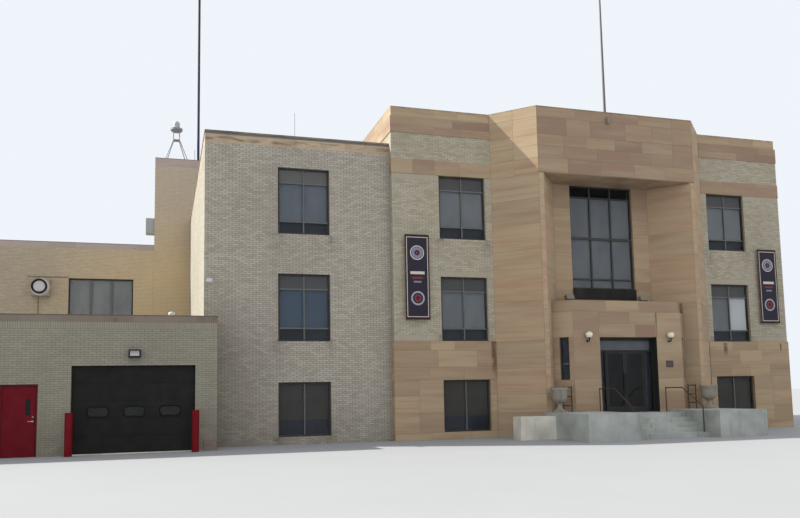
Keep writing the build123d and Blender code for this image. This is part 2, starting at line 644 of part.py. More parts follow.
# Banners on two bars each
for turn in (lambda s: s, mirrored):
    left, right = -BANNER_X - BANNER_WIDTH / 2, -BANNER_X + BANNER_WIDTH / 2
    cloth = block(left, right, -BANNER_OUT - BANNER_THICK / 2,
                  -BANNER_OUT + BANNER_THICK / 2, BANNER_LOW, BANNER_TOP)
    add("banners", turn(cloth))
    for z in (BANNER_LOW - BANNER_BAR / 2, BANNER_TOP + BANNER_BAR / 2):
        bar = rod((left, -BANNER_OUT, z), (right, -BANNER_OUT, z), BANNER_BAR)
        for x in (left + BANNER_BAR, right - BANNER_BAR):
            bar += rod((x, 0, z), (x, -BANNER_OUT, z), BANNER_STUB)
        add("banner_bars", turn(bar))

# Flagpole behind the frieze
pole_y = FRIEZE_WALL + POLE_BACK - PIER_DEPTH
pole = Pos(0, pole_y, SOFFIT + SOFFIT_SLAB) * Cone(
    POLE_BASE / 2, POLE_TIP / 2, POLE_TOP - SOFFIT - SOFFIT_SLAB,
    align=(Align.CENTER, Align.CENTER, Align.MIN))
pole += Pos(0, pole_y, POLE_TOP) * Sphere(POLE_BALL)
add("flagpole", pole)

# Addition: front and left walls, rear wall, coping with a metal cap
addition_front = block(ADD_LEFT, -HALF_FRONT, ADD_SETBACK,
                       ADD_SETBACK + WALL, 0, ADD_BAND_LOW)
for sill, head in ROWS:
    addition_front -= front_hole(ADD_WINDOW_X, sill, head, face=ADD_SETBACK)
    spot = Pos(ADD_WINDOW_X, ADD_SETBACK + WINDOW_SETBACK, sill)
    place_window(spot, WINDOW_WIDTH, head - sill)
add("addition_walls", addition_front)
add("side_walls", block(ADD_LEFT, ADD_LEFT + WALL, ADD_SETBACK + WALL,
                        inside_y, 0, ADD_BAND_LOW))
addition_rear = block(ADD_LEFT, -HALF_FRONT, inside_y, OLD_REAR,
                      0, ADD_BAND_LOW)
for sill, head in ROWS:
    addition_rear -= front_hole(ADD_REAR_WINDOW_X, sill, head, face=OLD_REAR)
    spot = Pos(ADD_REAR_WINDOW_X, OLD_REAR - WINDOW_SETBACK, sill)
    place_window(spot * Rot(0, 0, 180), WINDOW_WIDTH, head - sill)
add("addition_walls", addition_rear)


def coping(left, right, front, rear, low, top, right_run=False):
    """Runs of a band on the wall heads, with a joint where two of them meet."""
    runs = [block(left, right, front, front + WALL, low, top),
            block(left, right, rear - WALL, rear, low, top)]
    between = (front + WALL + COPING_JOINT, rear - WALL - COPING_JOINT)
    runs.append(block(left, left + WALL, *between, low, top))
    if right_run:
        runs.append(block(right - WALL, right, *between, low, top))
    return runs


stone_top = ADD_TOP - METAL_CAP
add("stone_copings", *coping(ADD_LEFT, -HALF_FRONT, ADD_SETBACK, OLD_REAR,
                             ADD_BAND_LOW, stone_top))
add("metal_cap", *coping(ADD_LEFT - CAP_LIP, -HALF_FRONT,
                         ADD_SETBACK - CAP_LIP, OLD_REAR,
                         stone_top, ADD_TOP))
whip_y = ADD_SETBACK + WALL / 2
add("antennas", rod((WHIP_X, whip_y, ADD_TOP), (WHIP_X, whip_y, ADD_TOP + WHIP_RISE), WHIP))

# Garage block: two sectional doors with a service door between them
service_x = (GARAGE_LEFT + GARAGE_RIGHT) / 2
front_back = GARAGE_FACE + WALL


def round_ended(x, face, z, width, height, depth):
    """An upright plate with rounded corners, its front at face."""
    plane = Plane(origin=(x, face, z), x_dir=(1, 0, 0), z_dir=(0, 1, 0))
    corner_radius = LIGHT_CORNER * height / LIGHT_HEIGHT
    return extrude(plane * RectangleRounded(width, height, corner_radius), depth)


def sectional_door(left, right, face):
    """Grooved door slab with three framed lights, and the panes in them."""
    slab = block(left, right, face, face + GARAGE_DOOR_THICK, 0, GARAGE_DOOR_HEAD)
    for section in range(1, DOOR_SECTIONS):
        z = section * GARAGE_DOOR_HEAD / DOOR_SECTIONS
        slab -= block(left - 1, right + 1, face - 1, face + SECTION_GROOVE,
                      z - SECTION_GROOVE / 2, z + SECTION_GROOVE / 2)
    panes = []
    for place in (-1, 0, 1):
        x = (left + right) / 2 + place * LIGHT_PITCH
        slab += round_ended(x, face - LIGHT_RING_PROUD, LIGHT_Z, LIGHT_WIDTH + 2 * LIGHT_RING,
                            LIGHT_HEIGHT + 2 * LIGHT_RING, GARAGE_DOOR_THICK)
        slab -= round_ended(x, face - GARAGE_DOOR_THICK, LIGHT_Z, LIGHT_WIDTH,
                            LIGHT_HEIGHT, 3 * GARAGE_DOOR_THICK)
        panes.append(round_ended(x, face + GARAGE_DOOR_THICK / 2, LIGHT_Z,
                                 LIGHT_WIDTH, LIGHT_HEIGHT, LIGHT_PANE))
    return slab, panes


def garage_bay(turn):
    """File half of the garage front, from the service door to the corner."""
    jamb = service_x + SERVICE_WIDTH / 2
    bay = block(jamb, GARAGE_RIGHT, GARAGE_FACE, front_back, 0, GARAGE_BAND)
    right = GARAGE_RIGHT - GARAGE_DOOR_MARGIN
    left = right - GARAGE_DOOR_WIDTH
    bay -= block(left, right, GARAGE_FACE - 1, front_back + 1,
                 -1, GARAGE_DOOR_HEAD)
    door, panes = sectional_door(left, right, GARAGE_FACE + GARAGE_DOOR_SETBACK)
    middle = (left + right) / 2
    lamp = block(middle - LAMP_BOX / 2, middle + LAMP_BOX / 2,
                 GARAGE_FACE - LAMP_BOX_OUT, GARAGE_FACE,
                 LAMP_BOX_LOW, LAMP_BOX_LOW + LAMP_BOX_TALL)
    posts = []
    for x in (left, right):
        post = Pos(x, GARAGE_FACE - BOLLARD_OUT, 0) * Cylinder(
            BOLLARD_RADIUS, BOLLARD_HEIGHT,
            align=(Align.CENTER, Align.CENTER, Align.MIN))
        posts.append(post)
    add("garage_walls", turn(bay))
    add("garage_doors", turn(door))
    add("garage_lights", *[turn(pane) for pane in panes])
    add("light_fittings", turn(lamp))
    add("bollards", *[turn(post) for post in posts])


service_plane = Plane.YZ.offset(service_x)
for turn in (lambda s: s, lambda s: mirror(s, service_plane)):
    garage_bay(turn)
service_left = service_x - SERVICE_WIDTH / 2
service_right = service_x + SERVICE_WIDTH / 2
add("garage_header", block(service_left, service_right, GARAGE_FACE,
                           front_back, SERVICE_HEAD, GARAGE_BAND))
add("garage_side_walls",
    block(GARAGE_LEFT, GARAGE_LEFT + WALL, front_back,
          OLD_REAR - WALL, 0, GARAGE_BAND),
    block(ADD_LEFT, GARAGE_RIGHT, front_back, ADD_SETBACK, 0, GARAGE_BAND))
add("garage_walls", block(GARAGE_LEFT, ADD_LEFT, OLD_REAR - WALL,
                          OLD_REAR, 0, GARAGE_BAND))
add("ground_slabs", block(GARAGE_LEFT + WALL, ADD_LEFT, front_back,
                          OLD_REAR - WALL, 0, GARAGE_SLAB))
add("roof_slabs", block(GARAGE_LEFT + WALL, ADD_LEFT, front_back,
                        OLD_REAR - WALL, GARAGE_ROOF - SLAB, GARAGE_ROOF))
for run in coping(GARAGE_LEFT, GARAGE_RIGHT, GARAGE_FACE, OLD_REAR,
                  GARAGE_BAND, GARAGE_TOP):
    add("stone_copings", run - block(ADD_LEFT, GARAGE_RIGHT + 1, ADD_SETBACK,
                                     OLD_REAR + 1, GARAGE_BAND - 1, GARAGE_TOP + 1))
add("stone_copings", block(ADD_LEFT, GARAGE_RIGHT, front_back + COPING_JOINT,
                           ADD_SETBACK, GARAGE_BAND, GARAGE_TOP))
for low in (0, CORNER_STONE + COPING_JOINT):
    add("corner_stones", block(GARAGE_RIGHT - CORNER_WIDTH, GARAGE_RIGHT,
                               GARAGE_FACE - CORNER_PROUD, GARAGE_FACE,
                               low, low + CORNER_STONE))

# Red service door in a steel frame
service_y = GARAGE_FACE + SERVICE_SETBACK
service_frame = block(service_left, service_right, service_y,
                      service_y + FRAME_DEPTH, 0, SERVICE_HEAD)
service_frame -= block(service_left + SERVICE_FRAME,
                       service_right - SERVICE_FRAME, service_y - 1,
                       service_y + FRAME_DEPTH + 1,
                       -1, SERVICE_HEAD - SERVICE_FRAME)
door_left = service_left + SERVICE_FRAME + LEAF_GAP
door_right = service_right - SERVICE_FRAME - LEAF_GAP
service_hinges = []
for share in HINGE_SHARES:
    on_leaf, on_frame = hinge(door_left - LEAF_GAP / 2, service_y,
                              share * SERVICE_HEAD)
    service_hinges.append(on_leaf)
    service_frame += on_frame
add("door_frames", service_frame)
service_door = block(door_left, door_right, service_y, service_y + SERVICE_THICK,
                     LEAF_GAP, SERVICE_HEAD - SERVICE_FRAME - LEAF_GAP)
lite = (door_right - LITE_EDGE - LITE_WIDTH, door_right - LITE_EDGE)
lite_z = (LITE_SILL, LITE_SILL + LITE_HEIGHT)
service_door -= block(*lite, service_y - 1, service_y + SERVICE_THICK + 1, *lite_z)
lever_x = door_right - LEVER_BACKSET
lever_y = service_y - LEVER_REACH
lever = rod((lever_x, service_y, LEVER_Z), (lever_x, lever_y, LEVER_Z),
            LEVER_STEM)
lever += rod((lever_x + LEVER_ROD, lever_y, LEVER_Z),
             (lever_x - LEVER_LENGTH, lever_y, LEVER_Z), LEVER_ROD)
lever += rod((lever_x, service_y, LEVER_Z),
             (lever_x, service_y - LEVER_ROSE_DEEP, LEVER_Z), LEVER_ROSE)
service_door += lever
for piece in service_hinges:
    service_door += piece
add("service_door", service_door)
add("service_lite", block(*lite, service_y + SERVICE_THICK / 2 - LITE_PANE / 2,
                          service_y + SERVICE_THICK / 2 + LITE_PANE / 2, *lite_z))

# Vent on the garage roof
vent_right = GARAGE_RIGHT - VENT_INSET + VENT_SIDE / 2
add("metal_boxes", block(vent_right - VENT_SIDE, vent_right, VENT_Y, VENT_Y + VENT_SIDE,
                         GARAGE_ROOF, GARAGE_TOP + VENT_RISE))

# Rear wing, two storeys
wing_rear = OLD_REAR + WING_DEPTH
wing_front = block(WING_LEFT, TOWER_LEFT, OLD_REAR, OLD_REAR + WALL,
                   0, WING_BAND)
left = WING_LEFT + WING_WINDOW_INSET
right = left + WING_WINDOW_WIDTH
sill, head = WING_SILL, WING_HEAD
wing_front -= block(left, right, OLD_REAR - 1, OLD_REAR + WALL + 1,
                    sill, head)
add("wing_walls", wing_front)
place_window(Pos((left + right) / 2, OLD_REAR + WINDOW_SETBACK, sill),
             right - left, head - sill)
add("side_walls", block(WING_LEFT, WING_LEFT + WALL, OLD_REAR + WALL,
                        wing_rear - WALL, 0, WING_BAND))
wing_back = block(WING_LEFT, TOWER_LEFT, wing_rear - WALL, wing_rear,
                  0, WING_BAND)
wing_back -= block(left, right, wing_rear - WALL - 1, wing_rear + 1,
                   sill, head)
add("wing_walls", wing_back)
place_window(Pos((left + right) / 2, wing_rear - WINDOW_SETBACK, sill)
             * Rot(0, 0, 180), right - left, head - sill)
for name, low, high in (("ground_slabs", 0, GROUND_SLAB),
                        ("upper_floors", WING_FLOOR - SLAB, WING_FLOOR),
                        ("roof_slabs", WING_ROOF - SLAB, WING_ROOF)):
    add(name, block(WING_LEFT + WALL, TOWER_LEFT, OLD_REAR + WALL,
                    wing_rear - WALL, low, high))
add("stone_copings", *coping(WING_LEFT, TOWER_LEFT, OLD_REAR, wing_rear,
                             WING_BAND, WING_TOP))

# Horn loudspeaker on the wing, camera on the addition's corner
horn = block(HORN_X - HORN_BOX / 2, HORN_X + HORN_BOX / 2, OLD_REAR - HORN_BOX_OUT,
             OLD_REAR, HORN_Z - HORN_BOX / 2, HORN_Z + HORN_BOX / 2)
horn += Pos(HORN_X, OLD_REAR - HORN_BOX_OUT, HORN_Z) * Rot(90, 0, 0) * Cone(
    HORN_THROAT, HORN_MOUTH, HORN_REACH,
    align=(Align.CENTER, Align.CENTER, Align.MIN))
add("wall_fixtures", horn)
camera_x = ADD_LEFT + CAMERA_INSET
camera_y = ADD_SETBACK - CAMERA_OUT / 2
camera = rod((camera_x, ADD_SETBACK, CAMERA_Z), (camera_x, camera_y, CAMERA_Z),
             CAMERA_ARM)
camera += block(camera_x - CAMERA_LENGTH / 2, camera_x + CAMERA_LENGTH / 2,
                camera_y - CAMERA_SIDE, camera_y,
                CAMERA_Z - CAMERA_SIDE / 2, CAMERA_Z + CAMERA_SIDE / 2)
add("wall_fixtures", camera)

# Tower with its siren, mast and side box
tower_right = TOWER_LEFT + TOWER_WIDTH
tower = block(TOWER_LEFT, tower_right, OLD_REAR, wing_rear, 0, TOWER_BAND)
tower -= block(TOWER_LEFT + WALL, tower_right - WALL, OLD_REAR + WALL,
               wing_rear - WALL, -1, TOWER_BAND + 1)
add("tower_walls", tower)
for name, low, high in (("ground_slabs", 0, GROUND_SLAB),
                        ("roof_slabs", TOWER_ROOF - SLAB, TOWER_ROOF)):
    add(name, block(TOWER_LEFT + WALL, tower_right - WALL, OLD_REAR + WALL,
                    wing_rear - WALL, low, high))
add("stone_copings", *coping(TOWER_LEFT, tower_right, OLD_REAR, wing_rear,
                             TOWER_BAND, TOWER_TOP, right_run=True))
side_box_y = OLD_REAR + SIDE_BOX_BACK
add("wall_fixtures", block(TOWER_LEFT - SIDE_BOX_OUT, TOWER_LEFT,
                           side_box_y, side_box_y + SIDE_BOX_DEEP,
                           SIDE_BOX_LOW, SIDE_BOX_LOW + SIDE_BOX_TALL))


def siren_head():
    """Bevelled rotor ring under a domed motor, standing at the origin."""
    motor_top = SIREN_RING_HEIGHT + SIREN_MOTOR_HEIGHT
    shoulder = SIREN_MOTOR * math.sqrt(0.5)
    side = Polyline((0, 0, 0), (SIREN_RING - SIREN_BEVEL, 0, 0),
                    (SIREN_RING, 0, SIREN_BEVEL),
                    (SIREN_RING, 0, SIREN_RING_HEIGHT - SIREN_BEVEL),
                    (SIREN_MOTOR, 0, SIREN_RING_HEIGHT), (SIREN_MOTOR, 0, motor_top))
    dome = ThreePointArc((SIREN_MOTOR, 0, motor_top), (shoulder, 0, motor_top + shoulder),
                         (0, 0, motor_top + SIREN_MOTOR))
    axle = Line((0, 0, motor_top + SIREN_MOTOR), (0, 0, 0))
    return revolve(make_face(side + dome + axle), Axis.Z)


platform_top = TOWER_ROOF + SIREN_PLATFORM
add("metal_boxes", block(SIREN_X - SIREN_PLATFORM_HALF, SIREN_X + SIREN_PLATFORM_HALF,
                         SIREN_Y - SIREN_PLATFORM_HALF, SIREN_Y + SIREN_PLATFORM_HALF,
                         TOWER_ROOF, platform_top))
plate_z = platform_top + SIREN_RISE
fork_top = plate_z + SIREN_FORK
neck = SIREN_NECK + SIREN_LEG / 2
siren = Pos(SIREN_X, SIREN_Y, plate_z) * block(-neck, neck, -neck, neck, 0, SIREN_PLATE)
for dx in (-1, 1):
    for dy in (-1, 1):
        foot = (SIREN_X + dx * SIREN_SPREAD, SIREN_Y + dy * SIREN_SPREAD, platform_top)
        neck_x, neck_y = SIREN_X + dx * SIREN_NECK, SIREN_Y + dy * SIREN_NECK
        siren += rod(foot, (neck_x, neck_y, plate_z + SIREN_PLATE / 2), SIREN_LEG)
        siren += rod((neck_x, neck_y, plate_z + SIREN_PLATE / 2),
                     (neck_x, neck_y, fork_top + SIREN_BEVEL / 2), SIREN_LEG)
siren += Pos(SIREN_X, SIREN_Y, fork_top) * siren_head()
siren -= block(TOWER_LEFT, tower_right, OLD_REAR, wing_rear, 0, platform_top)
add("roof_siren", siren)
stub_y = OLD_REAR + WALL / 2
add("antennas", rod((STUB_X, stub_y, TOWER_TOP), (STUB_X, stub_y, TOWER_TOP + STUB_RISE), STUB))
add("mast", Pos(MAST_X, MAST_Y, TOWER_ROOF) * Cylinder(
    MAST_DIAMETER / 2, MAST_TOP - TOWER_ROOF,
    align=(Align.CENTER, Align.CENTER, Align.MIN)))

os.makedirs("parts", exist_ok=True)
for name, solids in nodes.items():
    shape = solids[0] if len(solids) == 1 else Compound(children=solids)
    export_step(shape, "parts/" + name + ".step")
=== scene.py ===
# %% [markdown]
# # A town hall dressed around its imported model
#
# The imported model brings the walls, floors, doors and windows in metres, each at its true place.
# What it lacks is everything smaller than a wall: bricks, dressed stones, window bars, shades,
# the weathering, and the finishes. Those could be painted as pictures, but this lesson lays
# them as real pieces wherever the street sees them, and as shader maths elsewhere, so that
# they hold their scale from every side.

# %% Load the frame
import json
import math
import random

import bmesh
import bpy
from mathutils import Matrix, Vector


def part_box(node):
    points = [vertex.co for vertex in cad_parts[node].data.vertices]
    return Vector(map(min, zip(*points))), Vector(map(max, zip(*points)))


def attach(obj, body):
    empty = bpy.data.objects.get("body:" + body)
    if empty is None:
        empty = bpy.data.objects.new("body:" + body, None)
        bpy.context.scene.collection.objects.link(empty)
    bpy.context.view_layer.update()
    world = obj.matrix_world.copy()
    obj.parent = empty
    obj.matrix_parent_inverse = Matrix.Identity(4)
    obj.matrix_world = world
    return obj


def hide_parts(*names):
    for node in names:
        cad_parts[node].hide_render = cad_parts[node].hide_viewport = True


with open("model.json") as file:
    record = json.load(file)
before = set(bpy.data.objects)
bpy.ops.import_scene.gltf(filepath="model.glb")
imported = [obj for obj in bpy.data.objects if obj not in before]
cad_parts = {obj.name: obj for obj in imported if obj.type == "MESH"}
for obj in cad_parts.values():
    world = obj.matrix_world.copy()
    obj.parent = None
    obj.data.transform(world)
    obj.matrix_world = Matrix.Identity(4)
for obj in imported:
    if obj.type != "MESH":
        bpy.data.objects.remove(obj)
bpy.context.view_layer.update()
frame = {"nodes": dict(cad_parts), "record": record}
nodes = frame["nodes"]
print("frame:", len(nodes), "nodes")

# %% [markdown]
# ## The camera
#
# The picture was taken at eye height from left of the entrance, with the camera tilted up a
# little. Turn, tilt and roll are kept as three plain angles, because they can be checked one
# by one against the plumb lines and the eaves. The lens shift stands for the crop of the
# picture: its true centre line lies somewhat below the middle.

# %% Camera
EYE = Vector((-16.12, -25.88, 1.65))
TURN, TILT, ROLL = (math.radians(angle) for angle in (17.028, 5.718, 1.053))
SENSOR, LENS, SHIFT = 36, 34.985, 0.07

ahead = Vector((math.sin(TURN) * math.cos(TILT), math.cos(TURN) * math.cos(TILT), math.sin(TILT)))
level = Vector((math.cos(TURN), -math.sin(TURN), 0))
below = ahead.cross(level)
across = math.cos(ROLL) * level + math.sin(ROLL) * below
upward = math.sin(ROLL) * level - math.cos(ROLL) * below

eye_data = bpy.data.cameras.new("street_camera")
eye_data.sensor_width, eye_data.lens, eye_data.shift_y = SENSOR, LENS, SHIFT
eye_data.clip_end = 500
camera = bpy.data.objects.new("street_camera", eye_data)
bpy.context.scene.collection.objects.link(camera)
camera.matrix_world = Matrix.Translation(EYE) @ Matrix((across, upward, -ahead)).transposed().to_4x4()
bpy.context.scene.camera = camera
bpy.context.scene.view_settings.view_transform = "Standard"
print("camera at", tuple(round(value, 2) for value in EYE))

# %% [markdown]
# ## Shader maths as sums
#
# A finish is easier to read as an expression, such as `1 - mask * 0.5`, than as a row of
# boxes and wires. The class Wire holds one output socket and adds the Math node that an
# operator asks for. The class Finish holds one material, and its method node adds any other
# kind of node: settings go first, then the values or wires of its sockets.


# %% Wires and finishes
def paint(red, green, blue):
    """A colour as read on a screen, 0 to 255, turned into the linear one that Blender mixes."""
    shares = [value / 255 for value in (red, green, blue)]
    linear = [s / 12.92 if s < 0.04045 else ((s + 0.055) / 1.055) ** 2.4 for s in shares]
    return (*linear, 1.0)


class Wire:
    """One output socket of a finish."""

    def __init__(self, finish, socket):
        self.finish, self.socket = finish, socket

    def maths(self, operation, first, second=0.0):
        return self.finish.node("ShaderNodeMath", {"operation": operation}, {0: first, 1: second})

    def __add__(self, other):
        return self.maths("ADD", self, other)

    def __sub__(self, other):
        return self.maths("SUBTRACT", self, other)

    def __rsub__(self, other):
        return self.maths("SUBTRACT", other, self)

    def __mul__(self, other):
        return self.maths("MULTIPLY", self, other)

    def __gt__(self, other):
        return self.maths("GREATER_THAN", self, other)

    def __lt__(self, other):
        return self.maths("LESS_THAN", self, other)

    def __abs__(self):
        return self.maths("ABSOLUTE", self)

    __radd__, __rmul__ = __add__, __mul__


class Finish:
    """One material, built around a Principled shader."""

    def __init__(self, name, **constants):
        self.material = bpy.data.materials.new(name)
        self.material.use_nodes = True
        self.tree = self.material.node_tree
        self.shader = self.tree.nodes["Principled BSDF"]
        for socket, value in constants.items():
            self.feed(socket.replace("_", " "), value)

    def node(self, kind, settings=None, inputs=None, output=0):
        made = self.tree.nodes.new(kind)
        for key, value in (settings or {}).items():
            if key == "stops":
                for stop in range(len(value) - 2):
                    made.color_ramp.elements.new(0.5)
                for stop, (position, colour) in zip(made.color_ramp.elements, value):
                    stop.position, stop.color = position, colour
            else:
                setattr(made, key, value)
        for key, value in (inputs or {}).items():
            self.plug(made.inputs[key], value)
        return Wire(self, made.outputs[output])

    def plug(self, socket, value):
        if isinstance(value, Wire):
            self.tree.links.new(value.socket, socket)
        else:
            socket.default_value = value

    def feed(self, socket, value):
        self.plug(self.shader.inputs[socket], value)

    def place(self):
        """Where a point is on the building, in metres."""
        return self.node("ShaderNodeTexCoord", output="Object")

    def axes(self, vector):
        return [self.node("ShaderNodeSeparateXYZ", None, {0: vector}, axis) for axis in range(3)]

    def position(self):
        """x, y and z of a point on the building, in metres."""
        return self.axes(self.place())

    def facing(self):
        """x, y and z of the direction that the face looks to, without any bump."""
        return self.axes(self.node("ShaderNodeNewGeometry", output="True Normal"))

    def vector(self, x, y, z):
        return self.node("ShaderNodeCombineXYZ", None, {0: x, 1: y, 2: z})

    def noise(self, scale, detail=3, stretch=(1, 1, 1), where=None):
        spot = self.node("ShaderNodeVectorMath", {"operation": "MULTIPLY"},
                         {0: where or self.place(), 1: stretch})
        return self.node("ShaderNodeTexNoise", None, {"Vector": spot, "Scale": scale, "Detail": detail})

    def span(self, value, low, high):
        """0 at low, 1 at high, and straight between them."""
        return self.node("ShaderNodeMapRange", None, {0: value, 1: low, 2: high})

    def ramp(self, value, colours):
        """Colours at even steps of a value from 0 to 1."""
        steps = len(colours) - 1
        stops = [(step / steps, paint(*colour)) for step, colour in enumerate(colours)]
        return self.node("ShaderNodeValToRGB", {"stops": stops}, {0: value})

    def mix(self, first, second, share):
        first, second = (paint(*c) if isinstance(c, tuple) else c for c in (first, second))
        return self.node("ShaderNodeMix", {"data_type": "RGBA"}, {0: share, 6: first, 7: second}, 2)

    def recolour(self, colour, mask):
        """Mix one more colour over what Base Color already gets."""
        before = Wire(self, self.shader.inputs["Base Color"].links[0].from_socket)
        self.feed("Base Color", self.mix(before, colour, mask))

    def attribute(self, name):
        return self.node("ShaderNodeAttribute", {"attribute_name": name}, output="Fac")

    def relief(self, height, metres):
        """Bump of a height field, where 1 stands this far out."""
        bump = self.node("ShaderNodeBump", None, {"Height": height, "Distance": metres})
        self.feed("Normal", bump)


print("shader maths ready")

# %% [markdown]
# ## Light, floor and backdrop
#
# The street front lies in open shade: even light from the sky, and the sun low behind the
# left shoulder of the building, so that only faces turned to the left catch it. An even
# world gives the first, and one soft sun lamp the second. The pale backdrop is what the
# camera, the glass and polished metal see, and it adds no light of its own.

# %% Light and stage
SKY_LIGHT, SKY_STRENGTH, BACKDROP = (0.97, 0.98, 1.0, 1), 1.08, (0.80, 0.84, 0.89, 1)
SUN_FROM, SUN_COLOUR = Vector((-0.70, 0.35, 0.62)), (1.0, 0.97, 0.88)
SUN_STRENGTH, SUN_WIDTH = 7.0, math.radians(0.7)

world = bpy.data.worlds.new("open_shade")
bpy.context.scene.world = world
world.use_nodes = True
sky = world.node_tree
path = sky.nodes.new("ShaderNodeLightPath")
seen = sky.nodes.new("ShaderNodeMath")
seen.operation = "MAXIMUM"
sky.links.new(path.outputs["Is Camera Ray"], seen.inputs[0])
sky.links.new(path.outputs["Is Glossy Ray"], seen.inputs[1])
tint = sky.nodes.new("ShaderNodeMix")
tint.data_type = "RGBA"
tint.inputs[6].default_value = SKY_LIGHT
tint.inputs[7].default_value = BACKDROP
sky.nodes["Background"].inputs["Strength"].default_value = SKY_STRENGTH
sky.links.new(seen.outputs[0], tint.inputs[0])
sky.links.new(tint.outputs[2], sky.nodes["Background"].inputs["Color"])

sun_data = bpy.data.lights.new("low_sun", "SUN")
sun_data.energy, sun_data.angle, sun_data.color = SUN_STRENGTH, SUN_WIDTH, SUN_COLOUR
sun = bpy.data.objects.new("low_sun", sun_data)
bpy.context.scene.collection.objects.link(sun)
sun.rotation_euler = SUN_FROM.to_track_quat("Z", "Y").to_euler()

ground_finish = Finish("pale_ground", Roughness=0.9)
ground_finish.feed("Base Color", ground_finish.mix((146, 148, 152), (151, 153, 157),
                                                   ground_finish.noise(0.4)))
GROUND_REACH = 300
ground_mesh = bpy.data.meshes.new("pale_ground")
ground_mesh.from_pydata([(x * GROUND_REACH, y * GROUND_REACH, -0.001)
                         for x, y in ((-1, -1), (1, -1), (1, 1), (-1, 1))], [], [(0, 1, 2, 3)])
ground = bpy.data.objects.new("pale_ground", ground_mesh)
bpy.context.scene.collection.objects.link(ground)
ground_mesh.materials.append(ground_finish.material)
print("stage ready")

# %% [markdown]
# ## Faces and blocks
#
# Masonry, window bars and shades are all upright blocks set against a flat face. A Face is
# one wall face as seen from outside: it runs from a left end to a right end, and a point on
# it is a distance along, a distance out and a height. Blocks gathers closed blocks into one
# mesh. Ten thousand objects would be slow to handle, and one block with an array modifier
# could not be cut round the windows, so each block is written out with its own tone.


# %% Faces and blocks
class Face:
    """One upright wall face, as seen from outside, and the openings in it."""

    def __init__(self, left, right, low, high):
        self.left = Vector(left)
        run = Vector(right) - self.left
        self.length = run.length
        self.along = run.normalized()
        self.out = Vector((self.along.y, -self.along.x))
        self.low, self.high = low, high
        self.openings = []

    def point(self, u, out, z):
        spot = self.left + u * self.along + out * self.out
        return (spot.x, spot.y, z)

    def measure(self, point):
        offset = Vector(point[:2]) - self.left
        return offset.dot(self.along), offset.dot(self.out), point[2]


QUADS = ((0, 2, 3, 1), (4, 5, 7, 6), (0, 1, 5, 4), (2, 6, 7, 3), (0, 4, 6, 2), (1, 3, 7, 5))


class Blocks:
    """Closed blocks gathered for one mesh, each with its own tone and grime."""

    def __init__(self):
        self.corners, self.tones, self.grimes = [], [], []

    def add(self, face, left, right, low, high, back, front, tone=0.5, grime=0.0):
        self.corners += [face.point(u, out, z) for z in (low, high)
                         for out in (front, back) for u in (left, right)]
        self.tones += [tone] * 8
        self.grimes += [grime] * 8


def show(name, points, faces, finish, body="building", values=None):
    """Make one piece of the building from a mesh, its finish and the body it rides on."""
    mesh = bpy.data.meshes.new(name)
    mesh.from_pydata(points, [], faces)
    for key, numbers in (values or {}).items():
        mesh.attributes.new(key, "FLOAT", "POINT").data.foreach_set("value", numbers)
    mesh.materials.append(finish.material)
    piece = bpy.data.objects.new(name, mesh)
    bpy.context.scene.collection.objects.link(piece)
    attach(piece, body)
    print(name, len(faces), "faces")
    return piece


def show_blocks(name, blocks, finish, body="building"):
    """Make one piece of all the blocks gathered so far."""
    count = len(blocks.corners) // 8
    faces = [tuple(8 * block + corner for corner in quad) for block in range(count) for quad in QUADS]
    return show(name, blocks.corners, faces, finish, body,
                {"tone": blocks.tones, "grime": blocks.grimes})


# %% [markdown]
# ## The wall faces and their windows
#
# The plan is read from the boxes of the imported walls, so that the dressing moves with them.
# Each face is made once and shared by the bricks, the stones and the windows. A window is
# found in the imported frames: each separate ring of the node window_frames lies in the
# opening it fills, so its outline on a face is that opening.


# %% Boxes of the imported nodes
class Box:
    """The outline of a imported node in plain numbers, rounded to a tenth of a millimetre."""

    def __init__(self, name):
        low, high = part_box(name)
        self.left, self.front, self.foot = (round(value, 4) for value in low)
        self.right, self.rear, self.top = (round(value, 4) for value in high)

    def side(self, name, low=0, high=None):
        """The front, right, rear or left side as a Face, from one height to another."""
        corners = ((self.left, self.front), (self.right, self.front),
                   (self.right, self.rear), (self.left, self.rear))
        first = ("front", "right", "rear", "left").index(name)
        return Face(corners[first], corners[(first + 1) % 4], low, self.top if high is None else high)


old_box, base_box, rear_box = Box("front_brick_walls"), Box("front_stone_base"), Box("rear_wall")
stone_box, pier_box, portal_box = Box("front_rear_stone"), Box("canted_piers"), Box("portal_sides")
added_box, garage_box = Box("addition_walls"), Box("garage_walls")
wing_box, tower_box = Box("wing_walls"), Box("tower_walls")
door_box, header_box, corner_box = Box("garage_doors"), Box("garage_header"), Box("corner_stones")

OLD_HALF, CENTRE_HALF, RECESS_HALF = old_box.right, pier_box.right, Box("lobby_floor").right
REAR, INSIDE = rear_box.rear, rear_box.front
BRICK_LOW, PARAPET_LOW = old_box.foot, old_box.top
BAND_LOW, BAND_TOP, TOP_LOW, TOP = stone_box.foot, 10.0, 11.55, stone_box.top
cap_box = Box("metal_cap")
PORTAL_TOP, CAP_TOP, SOFFIT = portal_box.top, Box("portal_cap").top, pier_box.top
BLOCK_TOP = Box("stair_blocks").top
GARAGE_ROOF, GARAGE_BAND, GARAGE_TOP = 3.8, garage_box.top, 4.15
ADDED_TOP, WING_TOP, TOWER_TOP = cap_box.foot, 9.28, Box("stone_copings").top
print("old front", old_box.left, "to", old_box.right, "and", TOP, "high")

